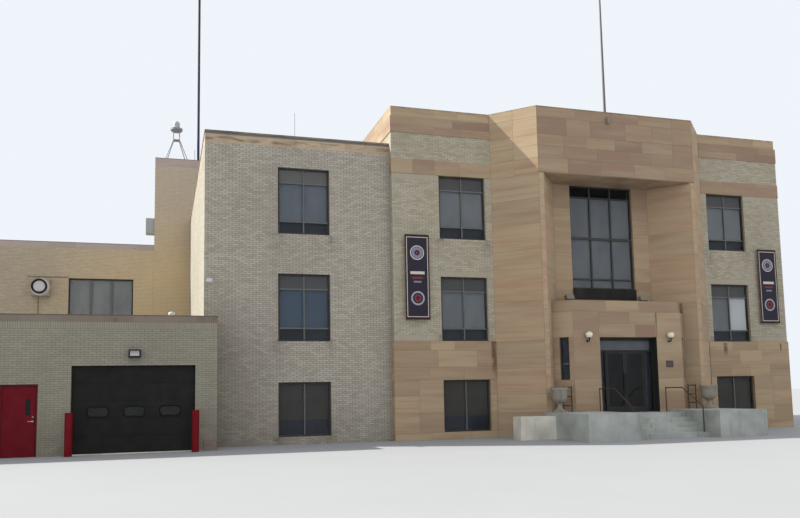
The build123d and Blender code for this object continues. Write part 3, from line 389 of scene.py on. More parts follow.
# %% Wall faces
addition = added_box.side("front")
addition_left = added_box.side("left", GARAGE_ROOF)
garage = garage_box.side("front")
garage_corner, garage_end = (garage_box.right, garage_box.front), (garage_box.right, added_box.front)
garage_right = Face(garage_corner, garage_end, 0, GARAGE_BAND)
wing = wing_box.side("front", GARAGE_ROOF)
tower = tower_box.side("front", GARAGE_ROOF)
tower_left = tower_box.side("left", WING_TOP)
addition.openings.append((0, garage_box.right - added_box.left, 0, GARAGE_TOP))
tower.openings.append((added_box.left - tower_box.left, tower.length, GARAGE_ROOF, cap_box.top))

wing_base_left = Face((base_box.left, base_box.front), (-CENTRE_HALF, base_box.front), 0, BRICK_LOW)
wing_base_right = Face((CENTRE_HALF, base_box.front), (base_box.right, base_box.front), 0, BRICK_LOW)
old_left = Face((-OLD_HALF, 0), (-CENTRE_HALF, 0), BRICK_LOW, BAND_LOW)
old_right = Face((CENTRE_HALF, 0), (OLD_HALF, 0), BRICK_LOW, BAND_LOW)
recess = Face((-RECESS_HALF, 0), (RECESS_HALF, 0), CAP_TOP, SOFFIT)
box_half = Box("metal_boxes").right
recess.openings.append((RECESS_HALF - box_half, RECESS_HALF + box_half, CAP_TOP + 0.2, CAP_TOP + 0.6))
CANT = 0.53
flank_back, jamb = portal_box.front + CANT, portal_box.right - CANT
flank_left = Face((portal_box.left, flank_back), (-jamb, portal_box.front), BLOCK_TOP, PORTAL_TOP)
flank_right = Face((jamb, portal_box.front), (portal_box.right, flank_back), BLOCK_TOP, PORTAL_TOP)

old_side = Face((OLD_HALF, 0), (OLD_HALF, REAR), 0, BAND_LOW)
old_rear = rear_box.side("rear")
addition_rear = added_box.side("rear")
wing_rear = wing_box.side("rear")
print("stone centre", 2 * CENTRE_HALF, "wide, its recess", 2 * RECESS_HALF)

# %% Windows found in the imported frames
REVEAL, SLACK = 0.30, 0.01
windowed = [addition, wing, wing_base_left, wing_base_right, old_left, old_right, recess,
            flank_left, flank_right, old_side, old_rear, addition_rear, wing_rear]


def loose_parts(name):
    """The points of each separate solid of a node."""
    solid = bmesh.new()
    solid.from_mesh(nodes[name].data)
    bmesh.ops.remove_doubles(solid, verts=solid.verts, dist=1e-5)
    waiting = set(solid.verts)
    parts = []
    while waiting:
        edge_of = [waiting.pop()]
        part = []
        while edge_of:
            vert = edge_of.pop()
            part.append(tuple(vert.co))
            for edge in vert.link_edges:
                other = edge.other_vert(vert)
                if other in waiting:
                    waiting.remove(other)
                    edge_of.append(other)
        parts.append(part)
    solid.free()
    return sorted(parts, key=lambda part: (min(part), len(part)))


windows = []
for part in loose_parts("window_frames"):
    found = False
    for face in windowed:
        spots = [face.measure(point) for point in part]
        lows, highs = [min(axis) for axis in zip(*spots)], [max(axis) for axis in zip(*spots)]
        if lows[0] < -SLACK or highs[0] > face.length + SLACK:
            continue
        if highs[1] > SLACK or lows[1] < -REVEAL:
            continue
        if highs[2] <= face.low or lows[2] >= face.high:
            continue
        face.openings.append((lows[0], highs[0], lows[2], highs[2]))
        if not found:
            windows.append((face, lows, highs))
        found = True
print(len(windows), "windows on", len(windowed), "faces")

# %% [markdown]
# ## Brick finishes
#
# The building has four bricks: a grey-buff one on the addition, one like it but more even on the
# garage, its colours darkened as painted shade, a yellower, rougher one on the old front, and a
# plain tan one at the rear, painted lighter and warmer low towards its right end as bounce light
# from the sunlit addition. Each brick of a laid wall carries its own tone, which a ramp turns into
# one of the firing colours. Fine noise adds the dark iron specks, and slow noise the weathering
# that runs over many bricks.

# %% Bricks
FIRING = {
    "grey": ((154, 148, 137), (163, 157, 145), (168, 162, 150), (175, 169, 157)),
    # The garage colours are darker versions of the addition's, as painted shade.
    "garage": ((129, 125, 112), (137, 133, 119), (142, 138, 124), (150, 146, 133)),
    "buff": ((155, 148, 130), (164, 157, 139), (169, 162, 145), (176, 169, 152)),
    "tan": ((158, 147, 130), (164, 153, 136), (169, 158, 140), (175, 164, 147)),
}
# The garage mortar is darker too, as painted shade.
MORTAR = {"grey": (116, 110, 100), "garage": (92, 87, 78),
          "buff": (126, 118, 99), "tan": (158, 145, 124)}
SPECK, SOOT = (84, 78, 70), (70, 64, 56)
BOUNCE_LIT_TAN, UPPER_TAN = (214, 188, 144), (194, 179, 162)


def brick_face(finish, tone, kind):
    """Firing colour, iron specks and broad weathering of one kind of brick, and painted bounce light on
    the tan one.
    """
    fired = finish.ramp(tone, FIRING[kind])
    specks = finish.span(finish.noise(70, 2), 0.60, 0.72)
    fired = finish.mix(fired, SPECK, specks * (0.12 if kind == "tan" else 0.4))
    x, y, z = finish.position()
    if kind == "tan":
        # Painted bounce light: lighter, warmer tan low towards the right end, as if lit from the sunlit
        # addition wall.
        bounce_lit = finish.span(x, -23, -14.5) * finish.span(z, 12, 8) * (y < REAR + 0.1)
        fired = finish.mix(fired, BOUNCE_LIT_TAN, bounce_lit * 0.75)
        fired = finish.mix(fired, UPPER_TAN, finish.span(z, 8.5, 12) * 0.5)
    if kind == "grey":
        # Darker towards the garage's right edge, low on the addition.
        corner = finish.span(x, -11.5, -14.4) * finish.span(z, 6, 3) * (y < 0.5)
        fired = finish.mix(fired, SOOT, corner * 0.32)
    splash = finish.span(z, 1.6, 0) * finish.span(finish.noise(2.5), 0.25, 0.6)
    weather = finish.span(finish.noise(0.45, 4, (1, 1, 0.5)), 0.48, 0.78)
    return finish.mix(finish.mix(fired, MORTAR[kind], weather * 0.3), SOOT, splash * 0.3)


def laid_brick(kind):
    """The finish of bricks that are laid one by one: their tone and grime come with the mesh."""
    finish = Finish(kind + "_bricks", Roughness=0.9)
    tone, grime = finish.attribute("tone"), finish.attribute("grime")
    dirt = finish.span(finish.noise(9, 3, (1, 1, 0.4)), 0.3, 0.7)
    colour = brick_face(finish, tone, kind)
    finish.feed("Base Color", finish.mix(colour, SOOT, grime * dirt))
    finish.relief(finish.noise(120, 3), 0.0015)
    return finish


bricks = {kind: laid_brick(kind) for kind in FIRING}
print("laid bricks:", ", ".join(bricks))

# %% [markdown]
# ## Sandstone and coping stone
#
# The stone centre is sawn sandstone. Its blocks run from tan to a pinkish brown, and each
# one shows its bedding as faint level streaks. Noise stretched along the level gives the
# streaks, and the block's own tone moves that noise, so that the streaks stop at each joint
# as they do on real blocks cut from different places in the quarry.

# %% Sandstone
STONE = ((136, 113, 96), (148, 127, 106), (158, 139, 114), (170, 151, 123), (172, 145, 118))
BED_DARK, BED_PALE, STONE_GAP = (144, 111, 90), (176, 158, 130), (104, 84, 66)
RUST = (98, 66, 48)
# Each rust stain: its middle, top, length and half width.
RUST_SPOTS = ((-4.68, 3.44, 1.5, 0.13), (5.35, 3.40, 0.55, 0.12), (8.05, 3.38, 0.4, 0.05))


def sandstone(name, shift):
    """Sandstone whose bedding is moved by a value, so that blocks differ."""
    finish = Finish(name, Roughness=0.86)
    tone = shift(finish)
    x, y, z = finish.position()
    moved = finish.vector(x + tone * 37, y + tone * 19, z + tone * 53)
    beds = finish.noise(1.7, 3, (0.25, 0.25, 2.2), moved)
    colour = finish.ramp(tone, STONE)
    colour = finish.mix(colour, BED_DARK, finish.span(beds, 0.48, 0.74) * 0.5)
    colour = finish.mix(colour, BED_PALE, finish.span(beds, 0.46, 0.26) * 0.35)
    streaks = finish.noise(3.1, 4, (0.12, 0.12, 5), moved)
    colour = finish.mix(colour, BED_DARK, finish.span(streaks, 0.52, 0.70) * 0.4)
    grain = finish.noise(160, 2)
    colour = finish.mix(colour, SPECK, finish.span(grain, 0.60, 0.80) * 0.25)
    for at, top, drop, half in RUST_SPOTS:
        mask = finish.span(abs(x - at), half, half * 0.4) * finish.span(z, top - drop, top - drop * 0.5)
        mask = mask * finish.span(finish.noise(7, 3, (1, 1, 0.3)), 0.25, 0.5)
        colour = finish.mix(colour, RUST, mask * (z < top) * (y < 0.1) * 0.9)
    rain = finish.span(finish.noise(4, 4, (1, 1, 0.2)), 0.35, 0.6)
    colour = finish.mix(colour, SOOT, rain * finish.span(z, TOP - 0.09, TOP - 0.02) * 0.45)
    finish.feed("Base Color", colour)
    finish.relief(grain + beds * 2, 0.0012)
    return finish


ashlar = sandstone("sandstone_blocks", lambda finish: finish.attribute("tone"))
print("sandstone blocks ready")

# %% Coping stone
COPING = ((150, 132, 112), (168, 150, 126), (180, 162, 138), (170, 146, 126))
PATCHED, SHADED, COLD = (140, 124, 110), (98, 90, 85), (162, 152, 154)
RUN_OFF, LOWER_LIP = (104, 84, 64), (98, 92, 84)
COPING_TOPS = (GARAGE_TOP, WING_TOP, TOWER_TOP)


def coping_stone(name, shift):
    """Pale stone with patches, stains below its lip and soot along its top."""
    finish = Finish(name, Roughness=0.85)
    tone = shift(finish)
    colour = finish.ramp(tone, COPING)
    patches = finish.span(finish.noise(1.6, 4, (1, 1, 2)), 0.5, 0.75)
    colour = finish.mix(colour, PATCHED, patches * 0.5)
    y, z = finish.position()[1:]
    colour = finish.mix(colour, SHADED, (z < 5) * (y < 2) * 0.75)
    colour = finish.mix(colour, COLD, (y > REAR - 0.02) * 0.7)
    middle = finish.span(abs(z - (ADDED_TOP - 0.21)), 0.12, 0.03)
    stains = finish.span(finish.noise(1.5, 4, (1, 1, 5)), 0.50, 0.62)
    colour = finish.mix(colour, RUN_OFF, middle * stains * 0.75)
    colour = finish.mix(colour, LOWER_LIP, (abs(z - (ADDED_TOP - 0.02)) < 0.05) * 0.85)
    for top in COPING_TOPS:
        colour = finish.mix(colour, SOOT, (abs(z - top) < 0.035) * 0.6)
    blotches = finish.span(finish.noise(5, 4), 0.62, 0.8)
    finish.feed("Base Color", finish.mix(colour, SOOT, blotches * 0.5))
    finish.relief(finish.noise(90, 3), 0.0015)
    return finish


coping_blocks = coping_stone("coping_blocks", lambda finish: finish.attribute("tone"))
print("coping stone ready")

# %% [markdown]
# ## Laying the walls
#
# A bricklayer gauges the courses so that a joint falls on every sill, head and band. The
# same is done here: the height between two such levels is shared out into whole courses as
# near to the true one as it goes. Every other course starts half a brick further on, and a
# soldier course stands its bricks upright. Blocks stand 3 mm proud of the mortar.

# %% Courses, free runs and grime
COURSE, BRICK, BED_JOINT = 0.0677, 0.2257, 0.008
END_JOINTS = {"grey": 0.017, "garage": 0.008, "buff": 0.014, "tan": 0.008}
BRICK_TONES = {"grey": (0, 1), "garage": (0.25, 0.75), "buff": (0, 1), "tan": (0.1, 0.9)}
PROUD, BEDDED, SLIVER = 0.003, -0.002, 0.045
GRIME_DROP, GRIME_HALF = 0.9, 0.16


def levels_of(face, low, high, extra):
    """The heights that a joint has to meet."""
    wanted = {round(level, 4) for level in extra}
    wanted |= {round(level, 4) for opening in face.openings for level in opening[2:]}
    levels = [low]
    for level in sorted(wanted):
        if levels[-1] + 0.03 < level < high - 0.03:
            levels.append(level)
    return levels + [high]


def free_runs(face, low, high, left, right):
    """Stretches of a course that no opening interrupts."""
    runs = [(left, right)]
    middle = (low + high) / 2
    for start, end, sill, head in face.openings:
        if sill < middle < head:
            parts = [part for a, b in runs for part in ((a, min(b, start)), (max(a, end), b))]
            runs = [part for part in parts if part[1] - part[0] > SLIVER]
    return runs


def grime_at(face, u, z):
    """Soot that runs down from the two lower corners of each window."""
    amount = 0
    for start, end, sill, head in face.openings:
        for corner in (start, end):
            if sill - GRIME_DROP < z < sill:
                amount += math.exp(-((u - corner) / GRIME_HALF) ** 2) * (1 - (sill - z) / GRIME_DROP)
    return min(1, amount) * 0.75


print("bricks of", BRICK, "in courses of", COURSE)


# %% Laying bricks
def lay_bricks(face, low, high, kind, draw, blocks, soldiers=()):
    """Running bond with soldier courses over one face."""
    stops = [level for soldier in soldiers for level in soldier]
    levels = levels_of(face, low, high, stops)
    row = 0
    for bottom, top in zip(levels, levels[1:]):
        middle = (bottom + top) / 2
        upright = any(start < middle < end for start, end in soldiers)
        courses = 1 if upright else max(1, round((top - bottom) / COURSE))
        for course in range(courses):
            z0 = bottom + (top - bottom) * course / courses
            z1 = bottom + (top - bottom) * (course + 1) / courses
            pitch = COURSE if upright else BRICK
            offset = pitch / 2 * (row % 2)
            row += 1
            for a, b in free_runs(face, z0, z1, 0, face.length):
                first = math.ceil((a + SLIVER - offset) / pitch)
                last = math.floor((b - SLIVER - offset) / pitch)
                cuts = [a] + [offset + pitch * step for step in range(first, last + 1)] + [b]
                for left, right in zip(cuts, cuts[1:]):
                    grime = grime_at(face, (left + right) / 2, z0)
                    gap = BED_JOINT if upright else END_JOINTS[kind]
                    tone = draw.uniform(*((0.35, 0.65) if upright else BRICK_TONES[kind]))
                    blocks.add(face, left + gap / 2, right - gap / 2, z0 + BED_JOINT / 2,
                               z1 - BED_JOINT / 2, BEDDED, PROUD, tone, grime)


print("end joints:", END_JOINTS)

# %% Laying stones
STONE_JOINT = 0.008


def lay_stones(face, levels, draw, blocks, widths=(0.8, 1.7), tones=(0, 1), lean=1):
    """Coursed blocks of random widths over one face; a low lean favours the paler tones."""
    for z0, z1 in zip(levels, levels[1:]):
        for a, b in free_runs(face, z0, z1, 0, face.length):
            cuts = [a]
            while b - cuts[-1] > widths[1] + 0.3:
                cuts.append(cuts[-1] + draw.uniform(*widths))
            if b - cuts[-1] > widths[1]:
                cuts.append((cuts[-1] + b) / 2)
            cuts.append(b)
            for left, right in zip(cuts, cuts[1:]):
                blocks.add(face, left + STONE_JOINT / 2, right - STONE_JOINT / 2,
                           z0 + STONE_JOINT / 2, z1 - STONE_JOINT / 2,
                           BEDDED, PROUD, tones[0] + (tones[1] - tones[0]) * draw.random() ** lean)


print("stone joints:", STONE_JOINT)

# %% Brick walls
SOLDIER, MIDDLE_SOLDIER = 0.215, 5.76
DOOR_WIDTH = 3.54
door_lefts = (door_box.left - garage_box.left, door_box.right - DOOR_WIDTH - garage_box.left)
garage.openings += [(left, left + DOOR_WIDTH, 0, door_box.top) for left in door_lefts]
garage.openings.append((header_box.left - garage_box.left, header_box.right - garage_box.left,
                        0, header_box.foot))
garage.openings.append((corner_box.left - garage_box.left, garage.length, 0, corner_box.top))

draw = random.Random(11)
walls = (
    ("addition_bricks", "grey", "grey_brick", ((addition, ()),)),
    ("addition_left_bricks", "grey", "grey_brick", ((addition_left, ()),)),
    ("garage_bricks", "garage", "grey_brick",
     ((garage, ((GARAGE_BAND - SOLDIER, GARAGE_BAND),)), (garage_right, ()))),
    ("old_front_bricks", "buff", "buff_brick", tuple(
        (face, tuple((level, level + SOLDIER)
                     for level in (BRICK_LOW, MIDDLE_SOLDIER, BAND_LOW - SOLDIER)))
        for face in (old_left, old_right))
     + tuple((Face((left, 0), (left + OLD_HALF - CENTRE_HALF, 0), BAND_TOP, PARAPET_LOW), ())
             for left in (-OLD_HALF, CENTRE_HALF))),
    ("rear_wing_bricks", "tan", "tan_brick", ((wing, ()), (tower, ()), (tower_left, ()))),
    ("old_side_bricks", "buff", "buff_brick",
     ((old_side, ()), (Face((OLD_HALF, 0), (OLD_HALF, REAR), BAND_TOP, PARAPET_LOW), ()),
      (Face((OLD_HALF, INSIDE), (OLD_HALF, REAR), 0, BRICK_LOW), ()),
      (Face((OLD_HALF, INSIDE), (OLD_HALF, REAR), BAND_LOW, BAND_TOP), ()))),
    ("old_rear_bricks", "buff", "buff_brick", ((old_rear, ()),)),
    ("addition_rear_bricks", "grey", "grey_brick", ((addition_rear, ()),)),
)
for name, kind, slot, faces in walls:
    blocks = Blocks()
    for face, soldiers in faces:
        foot = BRICK_LOW if face is old_side else face.low
        lay_bricks(face, foot, face.high, kind, draw, blocks, soldiers)
    show_blocks(name, blocks, bricks[kind])

# %% [markdown]
# ## The stone centre
#
# The centre is the hardest form of the building: canted piers with a narrow nose stand in
# front of a deep recess, and the frieze roofs them. The courses run round every turn of
# the plan, so the same levels are used for each of its faces.

# %% Stone faces
draw = random.Random(5)
stones = Blocks()
BASE_LEVELS = (0, 0.25, 0.93, 1.53, 2.07, 2.53, 3.12, BRICK_LOW)
PIER_LEVELS = (0.88, 1.53, 2.45, 3.41, CAP_TOP, 5.74, 6.67, 7.60, 8.52, SOFFIT)
BAND_LEVELS = (BAND_LOW, BAND_TOP)
PARAPET_LEVELS, TOP_LEVELS = (PARAPET_LOW, 11.24, TOP_LOW), (TOP_LOW, TOP)
BAND_OUT, PARAPET_OUT, TOP_OUT = 0.015, 0.02, -0.02
base_return = Face((base_box.left, added_box.front), (base_box.left, base_box.front), 0, BRICK_LOW)
for face in (wing_base_left, wing_base_right, base_return):
    lay_stones(face, BASE_LEVELS, draw, stones, tones=(0.4, 0.86))
for side in (-1, 1):
    for out, levels, tones in ((BAND_OUT, BAND_LEVELS, (0.1, 0.6)),
                               (PARAPET_OUT, PARAPET_LEVELS, (0.0, 0.45)),
                               (TOP_OUT, TOP_LEVELS, (0.4, 0.85))):
        ends = sorted((side * (OLD_HALF + out), side * CENTRE_HALF))
        face = Face((ends[0], -out), (ends[1], -out), levels[0], levels[-1])
        lay_stones(face, levels, draw, stones, tones=tones)

NOSE_OUTER, NOSE_INNER, PORTAL_LAP = 3.30, 3.10, 0.523
nose_face = pier_box.front
nose = ((-CENTRE_HALF, 0), (-NOSE_OUTER, nose_face), (-NOSE_INNER, nose_face), (-RECESS_HALF, 0))
PLINTH_LEVELS = (0, *PIER_LEVELS)
for points in (nose, tuple((-x, y) for x, y in reversed(nose))):
    for left, right in zip(points, points[1:]):
        face = Face(left, right, 0, SOFFIT)
        ends = sorted((abs(left[0]), abs(right[0])))
        if ends[1] == NOSE_INNER:
            hidden = (PORTAL_LAP, face.length) if left[0] < 0 else (0, face.length - PORTAL_LAP)
            face.openings.append((*hidden, 0, CAP_TOP))
        levels = PLINTH_LEVELS if ends[1] == CENTRE_HALF else PIER_LEVELS
        lay_stones(face, levels, draw, stones, (1.0, 1.9), (0.5, 1))

lay_stones(recess, (CAP_TOP, 5.04, *PIER_LEVELS[5:]), draw, stones, tones=(0.2, 0.7))
FRIEZE_LEVELS = (10.0, 10.45, 10.88, 11.52, TOP)
frieze = ((-CENTRE_HALF, 0), (-NOSE_OUTER, nose_face), (NOSE_OUTER, nose_face), (CENTRE_HALF, 0))
for left, right in zip(frieze, frieze[1:]):
    front = left[0] < 0 < right[0]
    # The front frieze starts 3 cm above the soffit, so the dark backing shows there as a painted shadow
    # line.
    levels = (SOFFIT + 0.03 * front, *FRIEZE_LEVELS)
    tones, lean = ((0, 0.5), 0.6) if front else ((0.5, 0.9), 1)
    lay_stones(Face(left, right, SOFFIT, TOP), levels, draw, stones, (0.9, 1.6), tones, lean)

# %% Portal stones
lintel_box = Box("portal_lintel")
lintel = lintel_box.side("front", lintel_box.foot)
LINTEL_LAP = 0.04
PORTAL_LEVELS = (BLOCK_TOP, 1.53, 2.0, 2.76, lintel.low, PORTAL_TOP)
for left, right in ((-jamb, lintel_box.left), (lintel_box.right, jamb)):
    face = Face((left, portal_box.front), (right, portal_box.front), BLOCK_TOP, PORTAL_TOP)
    lap = (face.length - LINTEL_LAP, face.length) if left < 0 else (0, LINTEL_LAP)
    face.openings.append((*lap, lintel.low, PORTAL_TOP))
    lay_stones(face, PORTAL_LEVELS, draw, stones, tones=(0.15, 0.65))
for face in (flank_left, flank_right):
    lay_stones(face, PORTAL_LEVELS, draw, stones, tones=(0.15, 0.65))
lay_stones(lintel, (lintel.low, 3.97, lintel.high), draw, stones, tones=(0.05, 0.5), lean=0.6)
CAP_HALF, CAP_FACE, CAP_CANT = 2.71, -1.33, 0.511
cap_back, cap_corner = CAP_FACE + CAP_CANT, CAP_HALF - CAP_CANT
cap = ((-CAP_HALF, cap_back), (-cap_corner, CAP_FACE), (cap_corner, CAP_FACE), (CAP_HALF, cap_back))
for left, right in zip(cap, cap[1:]):
    lay_stones(Face(left, right, PORTAL_TOP, CAP_TOP), (PORTAL_TOP, CAP_TOP), draw, stones,
               (1.2, 1.9), (0.2, 0.6))
show_blocks("sandstone_blocks", stones, ashlar)

# %% Stone bands and parapets of the sides and rear
rear_stones = Blocks()
REAR_LEVELS = (*PARAPET_LEVELS, TOP)
parapets = ((PARAPET_OUT, PARAPET_LEVELS), (TOP_OUT, TOP_LEVELS))
runs = [((OLD_HALF + out, -out), (OLD_HALF + out, INSIDE), levels)
        for out, levels in ((BAND_OUT, BAND_LEVELS), *parapets)]
rear_corners = ((OLD_HALF, INSIDE), (OLD_HALF, REAR), (-OLD_HALF, REAR), (-OLD_HALF, INSIDE))
runs += [(left, right, REAR_LEVELS) for left, right in zip(rear_corners, rear_corners[1:])]
runs += [((-OLD_HALF - out, INSIDE), (-OLD_HALF - out, -out), levels) for out, levels in parapets]
for left, right, levels in runs:
    lay_stones(Face(left, right, levels[0], levels[-1]), levels, draw, rear_stones, tones=(0.1, 0.7))
show_blocks("rear_stone_blocks", rear_stones, ashlar)

# %% Coping stones
copings = Blocks()
for face in (added_box.side("front", added_box.top, ADDED_TOP),
             added_box.side("left", added_box.top, ADDED_TOP),
             garage_box.side("front", GARAGE_BAND, GARAGE_TOP),
             Face(garage_corner, garage_end, GARAGE_BAND, GARAGE_TOP),
             wing_box.side("front", wing_box.top, WING_TOP),
             tower_box.side("front", tower_box.top, TOWER_TOP),
             tower_box.side("left", tower_box.top, TOWER_TOP)):
    lay_stones(face, (face.low, face.high), draw, copings, (0.7, 1.3))
show_blocks("coping_blocks", copings, coping_blocks)

# %% [markdown]
# ## Window bars and shades
#
# Each window is a bronze-coloured frame with one sheet of glass in the imported model. The
# real ones are divided: an opaque panel on top, two main lights, and two low lights that
# tilt in. The bars could be drawn on the glass, but from the side they would be flat, so
# they are real bars through it. Roller shades hang behind the main lights, and dark sheets of painted
# shade stand for the rooms behind the glass.

# %% Bars and sheets
BAR, RAIL = 0.045, 0.05
bars, panels = Blocks(), Blocks()
SHADES = ((42, 48, 56), (72, 66, 54), (82, 81, 80), (106, 104, 102),
          (84, 102, 122), (131, 137, 143), (143, 149, 152), (238, 244, 248))
# ROOM_SHADE is painted shade: a dark sheet that stands for the unlit room behind the glass.
ROOM_SHADE, BROWN, PANEL, PALE_PANEL, BLUE, GREY, PALE, BRIGHT = (step / 7 for step in range(8))


def upright(face, front, u, low, high, width=BAR, tone=0.5):
    """A standing bar through the glass."""
    bars.add(face, u - width / 2, u + width / 2, low, high, front - 0.055, front - 0.004, tone)


def level_bar(face, front, z, left, right, height=BAR, tone=0.5):
    """A level bar through the glass."""
    bars.add(face, left, right, z - height / 2, z + height / 2, front - 0.058, front - 0.002, tone)


def behind(face, front, left, right, low, high, tone, depth=0.075):
    """A thin sheet behind the glass: a shade, a panel, a sheet of painted shade for the dark room, or a
    sheet of painted reflection.
    """
    panels.add(face, left, right, low, high, front - depth - 0.004, front - depth, tone)


print(len(SHADES), "tones from dark to bright")

# %% Each window divided
draw = random.Random(3)
EDGE, TOP_LIGHT, LOW_LIGHT, LOW_PANEL, UPPER_STOREY = 0.058, 0.52, 0.45, 0.5, 5
NARROW, TALL_WIDTH, WING_WIDTH, LOW_HEIGHT = 0.5, 2.5, 2.8, 2
WING_BAR, WING_TONE, TALL_BAR, TALL_TONE = 0.11, 0.45, 0.06, 0
NARROW_RAIL, TALL_BAR_REACH = 2.57, 0.45
TALL_RAILS = ((8.99, 0.05), (7.40, 0.09), (5.83, 0.05))
TALL_SHADES = (5.86, 8.97)
for face, lows, highs in windows:
    left, right, front = lows[0] + EDGE, highs[0] - EDGE, highs[1]
    sill, head = lows[2] + EDGE, highs[2] - EDGE
    width, height = highs[0] - lows[0], highs[2] - lows[2]
    middle = (left + right) / 2
    if width < NARROW:
        level_bar(face, front, NARROW_RAIL, left, right)
        behind(face, front, left, right, sill, head, ROOM_SHADE)
    elif width > WING_WIDTH:
        for share in (1 / 3, 2 / 3):
            upright(face, front, left + (right - left) * share, sill, head, WING_BAR, WING_TONE)
        behind(face, front, left, right, sill, head, PALE + 0.02)
        level_bar(face, front, sill + 0.10, left, right, BAR, WING_TONE)
    elif width > TALL_WIDTH:
        for u in (middle - TALL_BAR_REACH, middle + TALL_BAR_REACH):
            upright(face, front, u, sill, head, TALL_BAR, TALL_TONE)
        for z, thick in TALL_RAILS:
            level_bar(face, front, z, left, right, thick, TALL_TONE)
        behind(face, front, left, right, *TALL_SHADES, GREY)
        behind(face, front, left, right, sill, TALL_SHADES[0] - 0.06, GREY)
    elif height < LOW_HEIGHT:
        upright(face, front, middle, sill, head)
        behind(face, front, left, right, sill, sill + LOW_PANEL, ROOM_SHADE)
        behind(face, front, left, right, sill + LOW_PANEL, head, BROWN)
    else:
        upright(face, front, middle, sill, head)
        transom, rail = highs[2] - TOP_LIGHT, lows[2] + LOW_LIGHT
        level_bar(face, front, transom, left, right, RAIL)
        level_bar(face, front, rail, left, right, RAIL)
        high_row = face is addition and lows[2] > UPPER_STOREY
        behind(face, front, left, right, transom, head, PALE_PANEL if high_row else PANEL, 0.045)
        # A full sheet of painted room shade behind the shades and the low lights.
        behind(face, front, left, right, sill, transom, ROOM_SHADE, 0.12)
        for a, b in ((left, middle), (middle, right)):
            drop = draw.choice((0.0, 0.0, 0.06, 0.3)) * (face.out.y > -0.9)
            tone = GREY + 0.15 * draw.random()
            if face is addition:
                tone = BLUE + 0.7 * (GREY - BLUE) if high_row else BLUE
            if face is old_right and a > left and lows[2] < UPPER_STOREY:
                tone = BRIGHT
            behind(face, front, a, b, rail + drop, transom, tone)
print(len(bars.corners) // 8, "bars in", len(windows), "windows")

# %% Sheets behind the glass of the entrance
PORCH_REAR, PORCH_SPAN = -0.9, 2.6
for part in loose_parts("window_glass"):
    lows, highs = [min(axis) for axis in zip(*part)], [max(axis) for axis in zip(*part)]
    faces_street = highs[0] - lows[0] > highs[1] - lows[1]
    if highs[1] < PORCH_REAR and faces_street and abs(lows[0] + highs[0]) < PORCH_SPAN:
        porch = Face((lows[0], highs[1]), (highs[0], highs[1]), lows[2], highs[2])
        # A sheet whose foot is above 3 m, behind the transom, is a pale painted reflection; the lower
        # ones are painted room shade.
        behind(porch, 0, 0, porch.length, lows[2], highs[2], GREY if lows[2] > 3 else ROOM_SHADE, 0.05)
print(len(panels.corners) // 8, "panels, shades and sheets")

# %% [markdown]
# ## Metals
#
# Most of the building's metal is painted or anodised, so it shows the even colour of its
# coat and not bare metal. One function makes them all, with a faint mottling, because a
# coat weathers unevenly, and with dust that gathers in patches and dulls the shine.


# %% Coated metals
def coated(name, colour, roughness, metallic=0.0, dust=(120, 112, 100), share=0.25, shine=0.5):
    """Paint or anodising: even colour, faint mottling and dust that gathers in patches."""
    finish = Finish(name, Metallic=metallic, Specular_IOR_Level=shine)
    lighter = tuple(min(255, value + 8) for value in colour)
    base = finish.mix(colour, lighter, finish.span(finish.noise(3, 4), 0.35, 0.7))
    dusty = finish.span(finish.noise(1.3, 5, (1, 1, 0.6)), 0.5, 0.8)
    finish.feed("Base Color", finish.mix(base, dust, dusty * share))
    finish.feed("Roughness", roughness + dusty * 0.15 + finish.noise(40, 2) * 0.06)
    finish.relief(finish.noise(220, 2), 0.0004)
    return finish


metals = {
    "bronze_metal": coated("bronze_frames", (48, 45, 42), 0.45, share=0.15, shine=0.3),
    "dark_metal": coated("dark_fittings", (26, 24, 23), 0.5, share=0.12, shine=0.2),
    "red_metal": coated("red_paint", (104, 8, 18), 0.6, share=0.0, shine=0.15),
    "white_metal": coated("white_paint", (192, 192, 190), 0.5, share=0.3),
    "pole_metal": coated("grey_alloy", (128, 128, 136), 0.4, 0.6, share=0.3),
}
BAR_TONES = ((50, 48, 45), (92, 92, 90), (118, 114, 108))
bar_metal = coated("window_bar_metal", BAR_TONES[1], 0.45, share=0.15)
bar_metal.feed("Base Color", bar_metal.ramp(bar_metal.attribute("tone"), BAR_TONES))
mast_metal = coated("mast_paint", (44, 44, 62), 0.5, share=0.1, shine=0.3)
pole_paint = coated("pole_paint", (84, 80, 88), 0.45, share=0.15)
lead = coated("cap_metal", (112, 108, 102), 0.6, dust=(58, 54, 50), share=0.9)
rail_paint = coated("rail_paint", (66, 50, 42), 0.55, share=0.2, shine=0.3)
print(len(metals), "metals")

# %% Shades and panels behind the glass
shade = Finish("shade_cloth", Roughness=0.8)
folds = shade.noise(0.8, 2, (1, 1, 0.5))
cloth = shade.ramp(shade.attribute("tone"), SHADES)
shade.feed("Base Color", shade.mix(cloth, (90, 100, 110), shade.span(folds, 0.4, 0.8) * 0.2))
show_blocks("window_shades", panels, shade)
show_blocks("window_bars", bars, bar_metal)

# %% [markdown]
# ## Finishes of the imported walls
#
# A few walls at the back and on the plot's left edge have no laid blocks, and neither has the
# stone base of the sides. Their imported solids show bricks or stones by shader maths: a Brick
# texture in true courses, measured along x or along y as the wall's own direction asks.
# Where bricks are laid in front, only the mortar shows.


# %% Brick walls by shader
def coursed(finish, output, length, height, joint=0.006, soft=0.0):
    """Blocks in running bond on upright walls: the tone of each one, or the joints."""
    x, y, z = finish.position()
    sideways = abs(finish.facing()[0]) > 0.7
    run = x * (1 - sideways) + y * sideways
    return finish.node("ShaderNodeTexBrick", None,
                       {"Vector": finish.vector(run, z, 0.0), "Color1": (0, 0, 0, 1),
                        "Color2": (1, 1, 1, 1), "Mortar": (0.5, 0.5, 0.5, 1), "Scale": 1.0,
                        "Mortar Size": joint, "Mortar Smooth": soft, "Brick Width": length,
                        "Row Height": height}, output)


